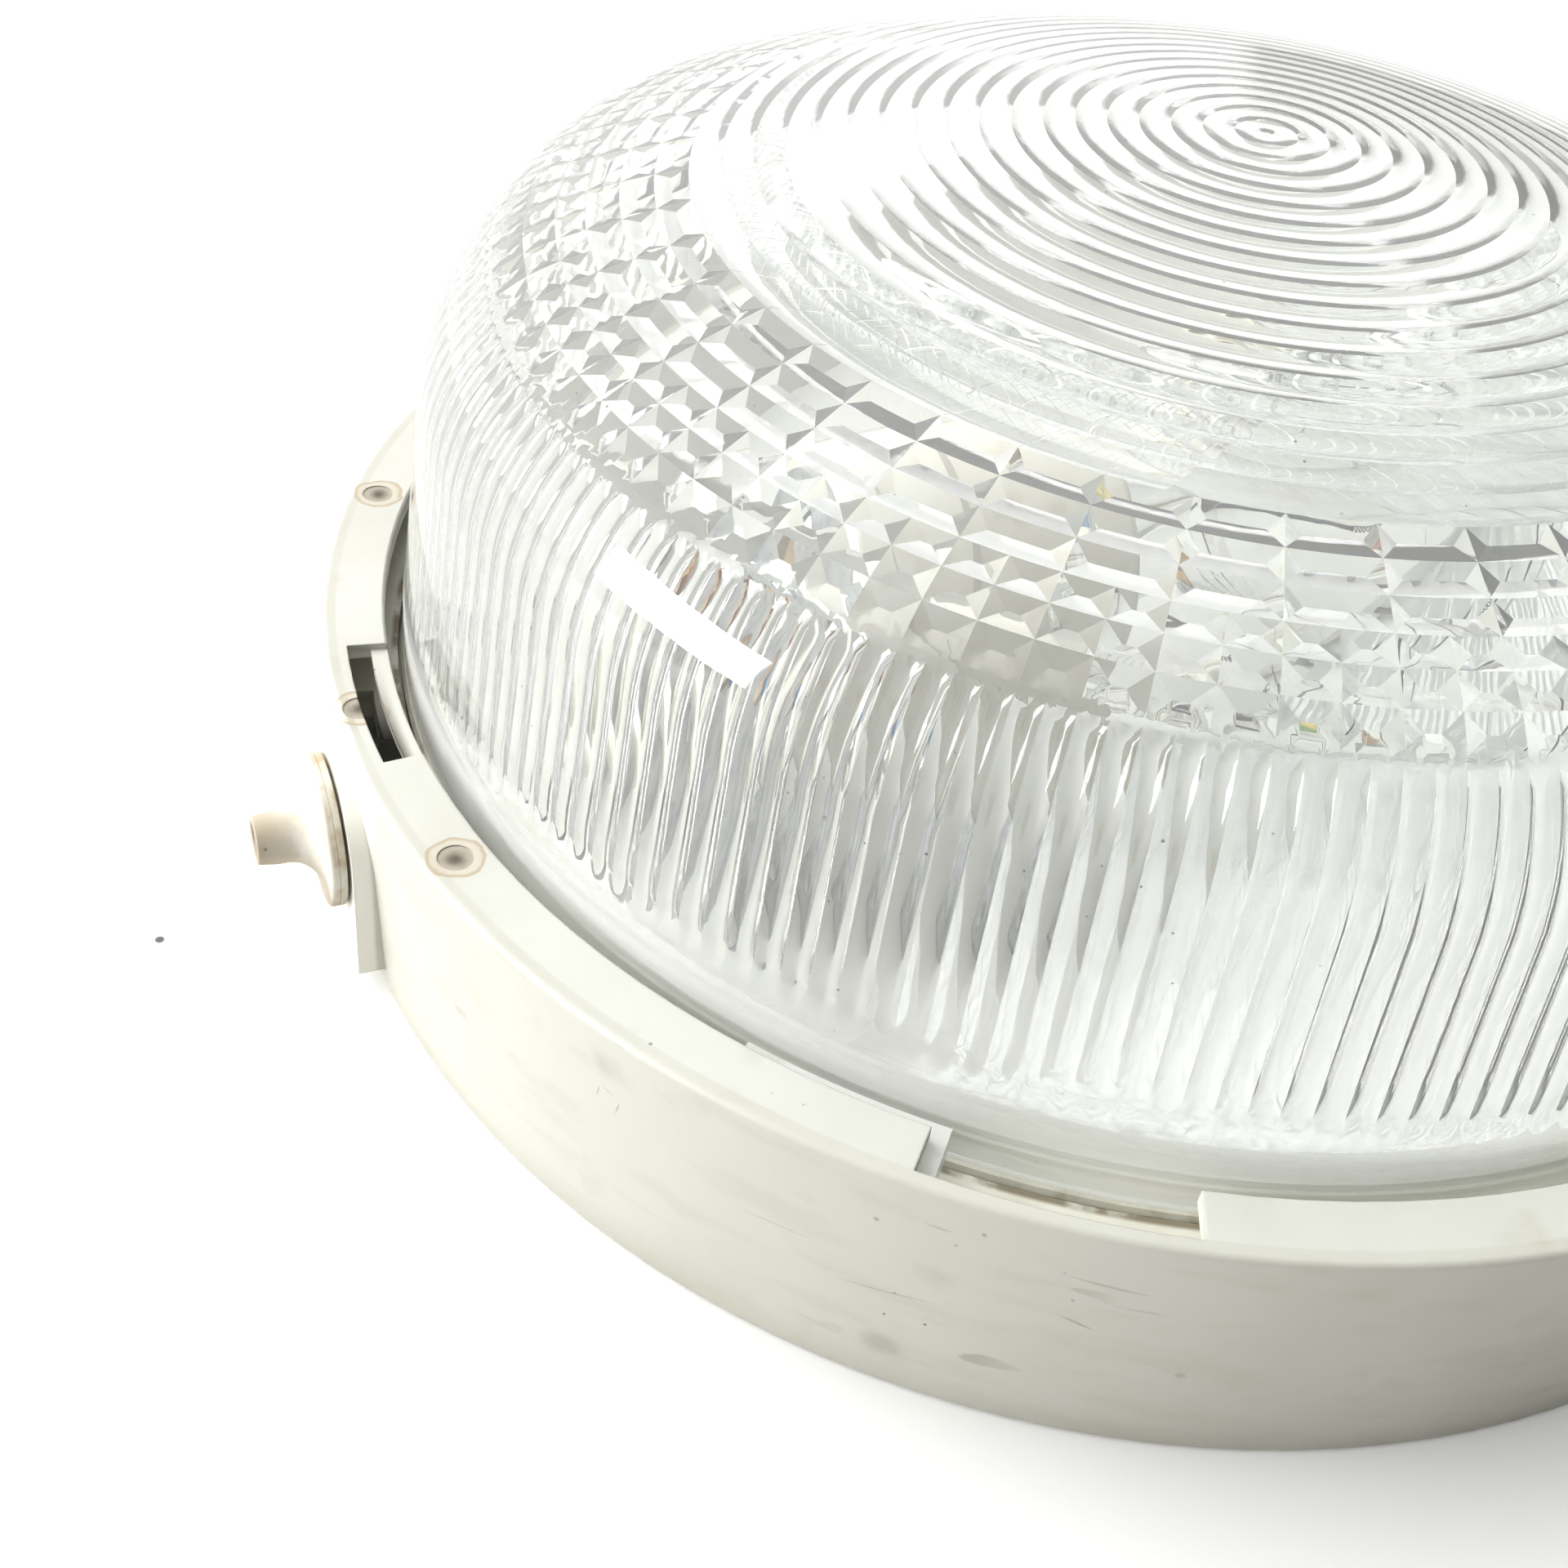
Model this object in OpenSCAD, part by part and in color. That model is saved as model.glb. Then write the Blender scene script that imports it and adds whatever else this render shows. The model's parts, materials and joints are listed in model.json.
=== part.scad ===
// Round bulkhead light with a bayonet prismatic glass, lying on its back plate.
// Origin: centre of the back face. +Z points out of the wall, -X is the cable entry side.

/* [Housing] */
// Height of the housing from the back face to the top of the locking flange
base_h = 37.5; // [35:0.5:45]
// Inner radius of the locking flange
flange_in_r = 110; // [109:0.5:111]
// Outer radius of the locking flange
flange_out_r = 118.5; // [118.5:0.1:120]
// Outer radius of the wall at the back face
foot_r = 116.8; // [116.4:0.1:118]
// Thickness of the locking flange
flange_t = 2.2; // [1.8:0.1:2.6]
// Thickness of the back plate
floor_t = 2.6; // [2:0.1:3]
// Thickness of the outer wall beside the bayonet channel
lip_t = 1.9; // [1.6:0.1:2.2]
// Width of each bayonet notch, degrees
notch_deg = 15; // [15:0.5:18]
// Direction of the first bayonet notch, degrees
notch_at = 235.95; // [230:0.05:240]

/* [Glass] */
// Outer radius of the glass where it passes the flange
glass_r = 107.5; // [107:0.1:108]
// Height of the crown above the flange
crown_h = 70.9; // [66:0.1:76]
// Height above the flange at which the shoulder starts
shoulder_at = 31.7; // [29:0.1:34]
// Outer radius of the rounded shoulder
shoulder_r = 26.7; // [24:0.1:29]
// Lean of the glass wall, degrees
glass_lean = 5.05; // [3:0.05:6]
// Thickness of the glass
glass_t = 4; // [3.5:0.1:4]
// Width of each bayonet lug, degrees
lug_deg = 13.5; // [10:0.5:13.5]
// Locking turn from the notch to the locked place, degrees
lock_deg = 13.05; // [12:0.05:13.05]

/* [Cable entry] */
// Height of the cable entry above the back face
entry_z = 19.9; // [18:0.1:20]
// Half width and arch radius of the moulded pad
pad_r = 11.5; // [11:0.1:12]
// Distance of the pad's face from the centre
pad_x = 119.9; // [119.5:0.1:120.5]
// Radius of the hole for the grommet
entry_r = 8; // [7.5:0.1:8.2]
// Outer radius of the grommet's flange
grommet_r = 10.35; // [9.5:0.05:11]
// Radius of the cable hole in the nipple
cable_r = 2.3; // [1.5:0.1:2.5]

/* [Lamp] */
// Height of the lamp axis above the back face
lamp_z = 46; // [44:0.5:50]
// Sideways place of the lamp axis
lamp_y = -12; // [-16:0.5:-8]
// Place of the lamp's foot contact along its axis
lamp_x = -47; // [-50:0.5:-45]
// Radius of the bulb
bulb_r = 30; // [27:0.5:30]
// Length of the lamp from foot contact to tip
lamp_l = 105; // [100:1:108]

/* [Fixing] */
// Distance between the two wall screw holes
fix_spacing = 110; // [90:1:120]
// Radius of the wall screw holes
fix_r = 2.6; // [2.2:0.1:3]

/* [Hidden] */
$fn = 96;

eps = 0.01;

// Levels of the bayonet channel, measured from the back face
flange_under = base_h - flange_t;
glass_foot_z = base_h - 7.5;
ledge_z = glass_foot_z - 0.3;
ledge_t = 4.5;
ledge_under = ledge_z - ledge_t;
groove_z = ledge_z - 2.3;
channel_r = flange_out_r - 2.3;
wall_in_r = foot_r - 2.6;
groove_in_r = 102.2;
groove_out_r = 108.4;
rib_in_r = 100.2;
rib_top = 30.6;

// Colours
cream = "#e6e2d2";
cream_rubber = "#c9b294";
clear_glass = [0.85, 0.9, 0.92, 0.35];
white_paint = "#f1f1ee";
zinc = "#b9bcc0";
brass_col = "#b58b45";
porcelain = "#f4f2ec";
nickel = "#c8c6bd";
dark_rubber = "#3a3833";
pale_rubber = "#b9b6ab";

// A ring sector between two radii and two levels, from angle a over w degrees
module sector(r0, r1, z0, z1, a, w) {
    rotate([0, 0, a]) rotate_extrude(angle = w) translate([r0, z0]) square([r1 - r0, z1 - z0]);
}

// A full ring
module ring(r0, r1, z0, z1) {
    rotate_extrude() translate([r0, z0]) square([r1 - r0, z1 - z0]);
}

// Children placed with their +Z along the row's +X, from a point
module along_x(p) {
    translate(p) rotate([0, 90, 0]) children();
}

// Points of an arc about c, from angle a0 to a1
function arc(c, r, a0, a1, n) = [for (i = [0:n]) let (a = a0 + (a1 - a0) * i / n)
    [c[0] + r * cos(a), c[1] + r * sin(a)]];

// ---------------------------------------------------------------- housing

gland_clear_deg = 14;
rib_count = 24;
slot_from = 172.25;
slot_deg = 12.4;
slot_r0 = 112.2;
slot_r1 = 115.3;
slot_drop = 0.9;
marks = [[153.3, 114.3], [179, 115.4], [194.5, 114.3]];
mark_dia = 4.4;
mark_t = 0.12;
post_r = 4.5;
post_hole_r = 1.25;
post_top = 9.9;
post_ring_r = 80;
post_angles = [30, 150, 270];
pad_depth = 9;
pad_foot = 3.4;
pocket_r = 10.6;
entry_wall_t = 2.6;

// Cross-section of the moulding: back plate, leaning wall, channel, ledge and gasket groove
module base_section() {
    edge = 0.8;
    foot_edge = 0.5;
    polygon(concat(
        [[0, 0], [foot_r - foot_edge, 0], [foot_r, foot_edge]],
        arc([flange_out_r - edge, base_h - edge], edge, 0, 90, 4),
        [[flange_in_r + 0.3, base_h], [flange_in_r, base_h - 0.3], [flange_in_r, flange_under],
         [channel_r, flange_under], [channel_r, ledge_z], [groove_out_r, ledge_z],
         [groove_out_r, groove_z], [groove_in_r, groove_z], [groove_in_r, rib_top],
         [rib_in_r, rib_top], [rib_in_r, ledge_under], [wall_in_r, ledge_under],
         [wall_in_r - 0.4, floor_t + 1], [wall_in_r - 1.4, floor_t], [0, floor_t]]));
}

// Flat pad with an arched top that carries the cable entry
module entry_pad() {
    intersection() {
        translate([-pad_x, 0, 0]) union() {
            translate([0, -pad_r, pad_foot]) cube([pad_depth, 2 * pad_r, entry_z - pad_foot]);
            along_x([0, 0, entry_z]) cylinder(r = pad_r, h = pad_depth);
        }
        difference() {
            translate([0, 0, -1]) cylinder(r = pad_x + 5, h = base_h);
            translate([0, 0, -2]) cylinder(r = wall_in_r + 0.5, h = base_h + 2);
        }
    }
}

module entry_cuts() {
    along_x([-pad_x - 1, 0, entry_z]) cylinder(r = entry_r, h = 20);
    along_x([-pad_x + entry_wall_t, 0, entry_z]) cylinder(r = pocket_r, h = 12);
}

// Bayonet notches, the core slot over the cable entry and the ejector marks
module flange_cuts() {
    for (i = [0:2])
        sector(flange_in_r - 1, flange_out_r - lip_t, flange_under - eps, base_h + 1,
               notch_at - notch_deg / 2 + 120 * i, notch_deg);
    sector(slot_r0, slot_r1, ledge_under - 1, base_h + 1, slot_from, slot_deg);
    sector(flange_in_r - 1, slot_r0 + eps, base_h - slot_drop, base_h + 1, slot_from, slot_deg);
    for (m = marks)
        rotate([0, 0, m[0]]) translate([m[1], 0, base_h - mark_t]) cylinder(d = mark_dia, h = 1);
}

// Shallow recess, lock ring and blind knock-out in the back face
module back_cuts() {
    difference() {
        ring(30, 104, -1, 0.8);
        for (s = [-1, 1]) translate([0, s * fix_spacing / 2, -1]) cylinder(r = 9, h = 3);
        for (i = [0:5]) rotate([0, 0, 60 * i + 30]) translate([20, -2, -1]) cube([90, 4, 3]);
    }
    ring(13, 14, -1, 1);
    for (s = [-1, 1])
        translate([0, s * fix_spacing / 2, -1]) cylinder(r = fix_r, h = floor_t + 2);
}

module ledge_ribs() {
    for (i = [0:rib_count - 1]) {
        a = 360 / rib_count * (i + 0.5);
        if (abs(a - 180) > gland_clear_deg)
            rotate([0, 0, a]) translate([rib_in_r + 0.2, -0.8, floor_t - 0.1])
                cube([wall_in_r - rib_in_r + 0.4, 1.6, ledge_under - floor_t + 0.2]);
    }
}

module base() {
    color(cream) difference() {
        union() {
            rotate_extrude() base_section();
            entry_pad();
            ledge_ribs();
            for (a = post_angles) rotate([0, 0, a])
                translate([post_ring_r, 0, floor_t - 0.1]) cylinder(r = post_r, h = post_top - floor_t + 0.1);
        }
        flange_cuts();
        entry_cuts();
        back_cuts();
        for (a = post_angles) rotate([0, 0, a])
            translate([post_ring_r, 0, floor_t]) cylinder(r = post_hole_r, h = post_top);
    }
}

module lens_gasket() {
    color(pale_rubber) rotate_extrude()
        polygon([[102.6, groove_z + 0.05], [108, groove_z + 0.05], [108, ledge_z - 0.4],
                 [107.6, glass_foot_z - 0.1], [103, glass_foot_z - 0.1], [102.6, ledge_z - 0.4]]);
}

// Push-in membrane grommet: inner flange, neck, outer flange and a waisted nipple
module cable_grommet() {
    disc_t = 2.1;
    nipple_l = 8.1;
    fillet = 4.2;
    tip_r = 3.3;
    root_r = 4.5;
    gap = 0.4;
    inner_t = 2;
    neck_l = entry_wall_t + 0.1;
    color(cream_rubber) along_x([-pad_x - gap - disc_t - nipple_l, 0, entry_z])
        rotate_extrude() polygon(concat(
            [[cable_r, 0], [tip_r - 0.3, 0], [tip_r, 0.3]],
            [for (i = [0:8]) let (a = 90 * i / 8)
                [root_r + fillet * (1 - cos(a)), nipple_l - fillet + fillet * sin(a)]],
            [[grommet_r - 0.5, nipple_l], [grommet_r, nipple_l + 0.5],
             [grommet_r, nipple_l + disc_t - 0.3], [grommet_r - 0.3, nipple_l + disc_t],
             [entry_r - 0.05, nipple_l + disc_t],
             [entry_r - 0.05, nipple_l + disc_t + gap + neck_l],
             [entry_r + 1.6, nipple_l + disc_t + gap + neck_l],
             [entry_r + 1, nipple_l + disc_t + gap + neck_l + inner_t],
             [6.3, nipple_l + disc_t + gap + neck_l + inner_t], [6.3, nipple_l + 1.5],
             [cable_r, nipple_l + 0.5]]));
}

module fixing_washers() {
    color(dark_rubber) for (s = [-1, 1]) translate([0, s * fix_spacing / 2, 0])
        ring(fix_r + 0.5, 6.2, floor_t + 0.02, floor_t + 1.6);
}

// ---------------------------------------------------------------- reflector and lamp holder

tray_z = 10;
tray_t = 0.8;
tray_top = tray_z + tray_t;
tray_flat_r = 86;
tray_rim_r = 101.6;
tray_rim_z = rib_top + 0.05;
entry_cut = [26, 24, 30];
holder_l = 38;
holder_r = 20;
holder_back = lamp_x - 15;
bracket_t = 1.2;
bracket_w = 34;
earth_at = [66, 22];
block_at = [46, 50];

module reflector() {
    color(white_paint) difference() {
        rotate_extrude() polygon([
            [0, tray_z], [tray_flat_r, tray_z], [97.5, tray_rim_z], [tray_rim_r, tray_rim_z],
            [tray_rim_r, tray_rim_z + tray_t], [97, tray_rim_z + tray_t],
            [tray_flat_r - 0.6, tray_top], [0, tray_top]]);
        translate([-tray_rim_r - 4, -entry_cut[1] / 2, tray_z - 4]) cube(entry_cut);
        for (a = post_angles) rotate([0, 0, a])
            translate([post_ring_r, 0, tray_z - 1]) cylinder(r = 2.1, h = 3);
        for (p = rivet_points()) translate([p[0], p[1], tray_z - 1]) cylinder(r = 1.65, h = 3);
        translate([block_at[0], block_at[1], tray_z - 1]) cylinder(r = 1.65, h = 3);
        translate([earth_at[0], earth_at[1], tray_z - 1]) cylinder(r = 2.1, h = 3);
    }
}

// Pan-head screw with a driver slot: head on z = 0, shank down
module pan_screw(head_r, head_h, shank_r, shank_l) {
    difference() {
        union() {
            cylinder(r = head_r, h = head_h * 0.6);
            translate([0, 0, head_h * 0.6]) cylinder(r1 = head_r, r2 = head_r * 0.72, h = head_h * 0.4);
            translate([0, 0, -shank_l]) cylinder(r = shank_r, h = shank_l + 0.1);
        }
        translate([-head_r - 1, -0.4, head_h * 0.45]) cube([2 * head_r + 2, 0.8, head_h]);
    }
}

module reflector_screws() {
    color(zinc) for (a = post_angles) rotate([0, 0, a])
        translate([post_ring_r, 0, tray_top + 0.02]) pan_screw(3.5, 2.2, post_hole_r - 0.02, 6);
}

function rivet_points() = [for (s = [-1, 1]) [holder_back + 12, lamp_y + s * 11]];

// Angle bracket: a foot on the reflector and an upright behind the holder
module holder_bracket() {
    foot_l = 20;
    back = holder_back - bracket_t;
    color(zinc) difference() {
        union() {
            translate([back, lamp_y - bracket_w / 2, tray_top]) cube([foot_l, bracket_w, bracket_t]);
            translate([back, lamp_y - bracket_w / 2, tray_top]) cube([bracket_t, bracket_w, lamp_z - tray_top]);
            along_x([back, lamp_y, lamp_z]) cylinder(r = bracket_w / 2, h = bracket_t);
        }
        for (s = [-1, 1]) {
            along_x([back - 1, lamp_y + s * 8, lamp_z]) cylinder(r = 4.6, h = 4);
            along_x([back - 1, lamp_y, lamp_z + s * 12.5]) cylinder(r = 1.65, h = 4);
        }
        for (p = rivet_points()) translate([p[0], p[1], tray_top - 1]) cylinder(r = 1.65, h = 4);
    }
}

module bracket_rivets() {
    color(zinc) for (p = rivet_points()) translate([p[0], p[1], 0]) {
        translate([0, 0, tray_z - 0.8]) cylinder(r = 2.6, h = 0.78);
        translate([0, 0, tray_z - 0.1]) cylinder(r = 1.63, h = tray_t + bracket_t + 0.2);
        translate([0, 0, tray_top + bracket_t + 0.02]) cylinder(r1 = 3, r2 = 1.8, h = 1.2);
    }
}

// Porcelain holder body, open towards the lamp
module lamp_holder() {
    color(porcelain) along_x([holder_back, lamp_y, lamp_z]) difference() {
        rotate_extrude() polygon(concat(
            [[0, 0.05], [holder_r - 1, 0.05]],
            arc([holder_r - 1, 1.05], 1, -90, 0, 4),
            [[holder_r, 14], [holder_r - 1.2, 15.5], [holder_r - 1.2, holder_l - 1.2]],
            arc([holder_r - 2.4, holder_l - 1.2], 1.2, 0, 90, 4),
            [[15.6, holder_l], [14.8, holder_l - 0.8], [14.8, 13.8], [0, 13.8]]));
        for (s = [-1, 1]) {
            translate([0, s * 8, -1]) cylinder(r = 4.5, h = 6);
            translate([0, s * 8, 4.5]) cylinder(r = 1.6, h = 6);
            translate([s * 12.5, 0, -1]) cylinder(r = 1.3, h = 11);
        }
    }
}

module holder_shell() {
    color(nickel) along_x([holder_back, lamp_y, lamp_z]) difference() {
        translate([0, 0, 13.85]) cylinder(r = 14.3, h = 22.4);
        translate([0, 0, 12]) cylinder(r = 13.7, h = 30);
    }
}

module holder_contact() {
    color(brass_col) translate([holder_back + 13.9, lamp_y, lamp_z]) {
        translate([0, -2.5, -9]) cube([0.5, 5, 18]);
        translate([0.4, 0, 0]) rotate([0, 90, 0]) cylinder(r = 2.6, h = 0.65);
    }
}

module holder_terminals() {
    color(brass_col) for (s = [-1, 1])
        translate([holder_back + 4.35, lamp_y + s * 8, lamp_z]) rotate([0, -90, 0]) {
            pan_screw(3.2, 2.2, 1.58, 5.5);
            translate([0, 0, -0.02]) ring(1.5, 4, -0.02, 0.8);
        }
}

module holder_screws() {
    color(zinc) for (s = [-1, 1])
        translate([holder_back - bracket_t - 0.02, lamp_y, lamp_z + s * 12.5])
            rotate([0, -90, 0]) pan_screw(2.9, 1.9, 1.28, 9);
}

// ---------------------------------------------------------------- wiring

block_l = 26;
block_w = 17;
block_h = 13;
pole_pitch = 8;
sleeve_z = tray_top + 5.2;
sleeve_r = 2.7;
wire_r = 1.2;

module terminal_block() {
    color(white_paint) translate([block_at[0], block_at[1], tray_top + 0.03]) difference() {
        union() {
            translate([-block_l / 2, -block_w / 2, 0]) cube([block_l, block_w, 6.5]);
            for (i = [-1:1]) translate([i * pole_pitch - 3.3, -block_w / 2, 0]) cube([6.6, block_w, block_h - 3]);
            for (i = [-1:1], s = [-1, 1]) translate([i * pole_pitch, s * 4.6, 0]) cylinder(r = 3, h = block_h);
        }
        for (i = [-1:1]) {
            translate([i * pole_pitch, block_w, 5.17]) rotate([90, 0, 0]) cylinder(r = sleeve_r + 0.02, h = 2 * block_w);
            for (s = [-1, 1]) translate([i * pole_pitch, s * 4.6, 5]) cylinder(r = 2.1, h = block_h);
        }
        translate([0, 0, -1]) cylinder(r = 1.55, h = 2.6);
    }
}

module terminal_sleeves() {
    color(brass_col) for (i = [-1:1])
        translate([block_at[0] + i * pole_pitch, block_at[1] + 7, sleeve_z]) rotate([90, 0, 0])
            difference() {
                cylinder(r = sleeve_r, h = 14);
                translate([0, 0, -1]) cylinder(r = 1.7, h = 16);
                for (z = [2.4, 11.6]) translate([0, 0.5, z]) rotate([-90, 0, 0]) cylinder(r = 1.3, h = 4);
            }
}

module terminal_screws() {
    color(zinc) for (i = [-1:1], s = [-1, 1])
        translate([block_at[0] + i * pole_pitch, block_at[1] + s * 4.6, sleeve_z + 4.6])
            pan_screw(1.9, 1.6, 1.28, 3.3);
}

module terminal_block_screw() {
    color(zinc) translate([block_at[0], block_at[1], 0]) {
        translate([0, 0, tray_z - 2.2]) cylinder(r = 2.8, h = 2.18, $fn = 6);
        translate([0, 0, tray_z - 2]) cylinder(r = 1.5, h = 4.2);
    }
}

module earth_screw() {
    color(brass_col) translate([earth_at[0], earth_at[1], tray_top + 1.84]) pan_screw(3.6, 2.2, 1.95, 5.5);
}

module earth_washer() {
    color(zinc) translate([earth_at[0], earth_at[1], tray_top]) {
        ring(2.1, 4.6, 0.02, 0.8);
        ring(2.1, 4.2, 0.82, 1.8);
    }
}

// Direction of a route at its point i
function heading(p, i) = let (d = p[min(i + 1, len(p) - 1)] - p[max(i - 1, 0)]) d / norm(d);

// A round wire of n sides through a list of points; no stretch runs along side_ref
side_ref = [0.5, -0.6, -0.62];
module wire(points, r, n = 10) {
    last = len(points) - 1;
    rings = [for (i = [0:last], k = [0:n - 1]) let (
        t = heading(points, i), c = cross(t, side_ref), u = c / norm(c), v = cross(t, u), a = 360 * k / n)
        points[i] + r * (cos(a) * u + sin(a) * v)];
    sides = [for (i = [0:last - 1], k = [0:n - 1]) let (
        m = (k + 1) % n, p = i * n) each [[p + k, p + m, p + n + m], [p + k, p + n + m, p + n + k]]];
    ends = [for (k = [1:n - 2]) each [[0, k + 1, k], [last * n, last * n + k, last * n + k + 1]]];
    polyhedron(points = rings, faces = [for (f = concat(sides, ends)) [f[0], f[2], f[1]]]);
}

// Smooth route through hand-chosen points
function between(p, i, t) = let (
    a = p[max(i - 1, 0)], b = p[i], c = p[i + 1], d = p[min(i + 2, len(p) - 1)])
    0.5 * (2 * b + (c - a) * t + (2 * a - 5 * b + 4 * c - d) * t * t + (3 * b - a - 3 * c + d) * t * t * t);
function smooth(p, n) = concat([for (i = [0:len(p) - 2], k = [0:n - 1]) between(p, i, k / n)], [p[len(p) - 1]]);

wire_low = tray_top + wire_r + 0.8;
wire_in_y = block_at[1] - 8.9;
terminal_x = holder_back - 2.4;

module live_lead() {
    color("#7a4a2a") wire(smooth([
        [block_at[0] - 8, wire_in_y + 1.5, sleeve_z], [block_at[0] - 8.6, wire_in_y - 6, sleeve_z - 1.2],
        [24, 24, wire_low], [0, 24, wire_low], [-34, 20, wire_low], [-58, 14, wire_low + 1],
        [-70, 4, wire_low + 10], [-70.5, -2, lamp_z - 10], [terminal_x - 2.5, lamp_y + 8, lamp_z - 2],
        [terminal_x + 1.6, lamp_y + 8, lamp_z]], 3), wire_r);
}

module neutral_lead() {
    color("#5d7f9d") wire(smooth([
        [block_at[0], wire_in_y + 1.5, sleeve_z], [block_at[0] - 1, wire_in_y - 9, sleeve_z - 1],
        [30, 19.5, wire_low], [2, 20, wire_low], [-34, 16, wire_low], [-57, 11, wire_low + 0.6],
        [-72, -2, wire_low + 7], [-75, -14, lamp_z - 12], [terminal_x - 3.5, lamp_y - 7, lamp_z - 3],
        [terminal_x + 1.6, lamp_y - 8, lamp_z]], 3), wire_r);
}

module earth_lead() {
    color("#8fae4a") wire(smooth([
        [block_at[0] + 8, wire_in_y + 1.5, sleeve_z], [block_at[0] + 9, wire_in_y - 5, sleeve_z - 1],
        [58, 29, wire_low + 0.8], [61.5, 26, tray_top + 2.9]], 3), wire_r);
}

// ---------------------------------------------------------------- glass

shoulder_c = [glass_r - shoulder_at * tan(glass_lean) - shoulder_r * cos(glass_lean),
              base_h + shoulder_at - shoulder_r * sin(glass_lean)];
crown_over = base_h + crown_h - shoulder_c[1];
crown_r = (pow(shoulder_c[0], 2) + pow(crown_over, 2) - pow(shoulder_r, 2)) / (2 * (crown_over - shoulder_r));
crown_cz = base_h + crown_h - crown_r;
crown_a = atan2(shoulder_c[1] - crown_cz, shoulder_c[0]);

// One side of the glass, set in from the outer face by the given amount
function glass_side(inset) = concat(
    [[glass_r - inset, glass_foot_z], [glass_r - inset, base_h]],
    arc(shoulder_c, shoulder_r - inset, glass_lean, crown_a, 12),
    [for (i = [1:16]) let (a = crown_a + (90 - crown_a) * i / 16)
        [i == 16 ? 0 : (crown_r - inset) * cos(a), crown_cz + (crown_r - inset) * sin(a)]]);

module lens() {
    inner = glass_side(glass_t);
    lug_from = notch_at - lock_deg - lug_deg / 2;
    color(clear_glass) union() {
        rotate_extrude() polygon(concat(glass_side(0), [for (i = [len(inner) - 1:-1:0]) inner[i]]));
        for (i = [0:2])
            sector(glass_r - 2, 115, glass_foot_z, flange_under - 0.25, lug_from + 120 * i, lug_deg);
    }
}

// ---------------------------------------------------------------- lamp

neck_r = 11.6;
glass_wall = 0.7;
bulb_cx = lamp_l - bulb_r;
neck_fillet = 38;
neck_arc_x = bulb_cx - sqrt(pow(bulb_r + neck_fillet, 2) - pow(neck_r + neck_fillet, 2));
neck_arc_a = atan2(neck_r + neck_fillet, bulb_cx - neck_arc_x);

// Bulb outline: straight neck, blending arc and ball, set in by w
function bulb_side(w) = concat(
    [[neck_r - w, 20]],
    [for (i = [0:8]) let (a = 90 + (neck_arc_a - 90) * i / 8)
        [neck_r + neck_fillet - (neck_fillet + w) * sin(a), neck_arc_x + (neck_fillet + w) * cos(a)]],
    [for (i = [0:14]) let (a = (180 - neck_arc_a) * (1 - i / 14))
        [i == 14 ? 0 : (bulb_r - w) * sin(a), bulb_cx + (bulb_r - w) * cos(a)]]);

module lamp_bulb() {
    inner = bulb_side(glass_wall);
    color(clear_glass) along_x([lamp_x, lamp_y, lamp_z])
        rotate_extrude() polygon(concat(bulb_side(0), [for (i = [len(inner) - 1:-1:0]) inner[i]]));
}

module lamp_stem() {
    color(clear_glass) along_x([lamp_x, lamp_y, lamp_z]) rotate_extrude() polygon([
        [0, 24], [9.5, 24], [9.9, 25.5], [5, 29], [3.4, 34], [2.6, 44], [1.2, 47], [1.2, 62], [2.2, 63], [2.2, 65], [0, 66]]);
}

module lamp_filament() {
    coil_r = 11;
    coil_z = 70;
    function on_coil(a) = [coil_r * cos(a), coil_r * sin(a), coil_z];
    color(zinc) along_x([lamp_x, lamp_y, lamp_z]) {
        wire([for (a = [28:12:332]) on_coil(a)], 0.45);
        for (a = [30, 330])
            wire([[2 * cos(a), 2 * sin(a), 43], [3.4 * cos(a), 3.4 * sin(a), 50], on_coil(a)], 0.35, 8);
        for (a = [100, 180, 260])
            wire([[1.5 * cos(a), 1.5 * sin(a), 64], [5 * cos(a), 5 * sin(a), 66], on_coil(a)], 0.25, 8);
    }
}

module lamp_cap() {
    color(nickel) along_x([lamp_x, lamp_y, lamp_z]) rotate_extrude() polygon([
        [9.2, 2.6], [12.2, 3.6], [13.2, 5], [13.2, 21], [12.7, 22.5], [12.7, 25.5], [12.1, 25.5],
        [12.1, 21.4], [12.2, 6], [11.2, 4.8], [9.2, 4.2]]);
}

module cap_insulator() {
    color(dark_rubber) along_x([lamp_x, lamp_y, lamp_z]) rotate_extrude() polygon([
        [4.4, 1], [9.18, 2.4], [9.18, 4.6], [4.4, 3]]);
}

module cap_contact() {
    color(brass_col) along_x([lamp_x, lamp_y, lamp_z]) rotate_extrude() polygon([
        [0, 0.05], [2.6, 0.25], [4, 0.75], [4.35, 1.2], [4.35, 3.2], [0, 3.2]]);
}

// ---------------------------------------------------------------- parts

base();
lens_gasket();
cable_grommet();
fixing_washers();
reflector();
reflector_screws();
holder_bracket();
bracket_rivets();
lamp_holder();
holder_shell();
holder_contact();
holder_terminals();
holder_screws();
terminal_block();
terminal_sleeves();
terminal_screws();
terminal_block_screw();
earth_screw();
earth_washer();
live_lead();
neutral_lead();
earth_lead();
lens();
lamp_bulb();
lamp_stem();
lamp_filament();
lamp_cap();
cap_insulator();
cap_contact();
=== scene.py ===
"""Round bulkhead light with a bayonet prismatic glass: its dressed model, studio and camera."""

import json
import logging
import math
from collections.abc import Callable, Sequence
from dataclasses import dataclass, field
from enum import Enum
from itertools import pairwise

import bmesh
import bpy
from mathutils import Matrix, Vector


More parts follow.
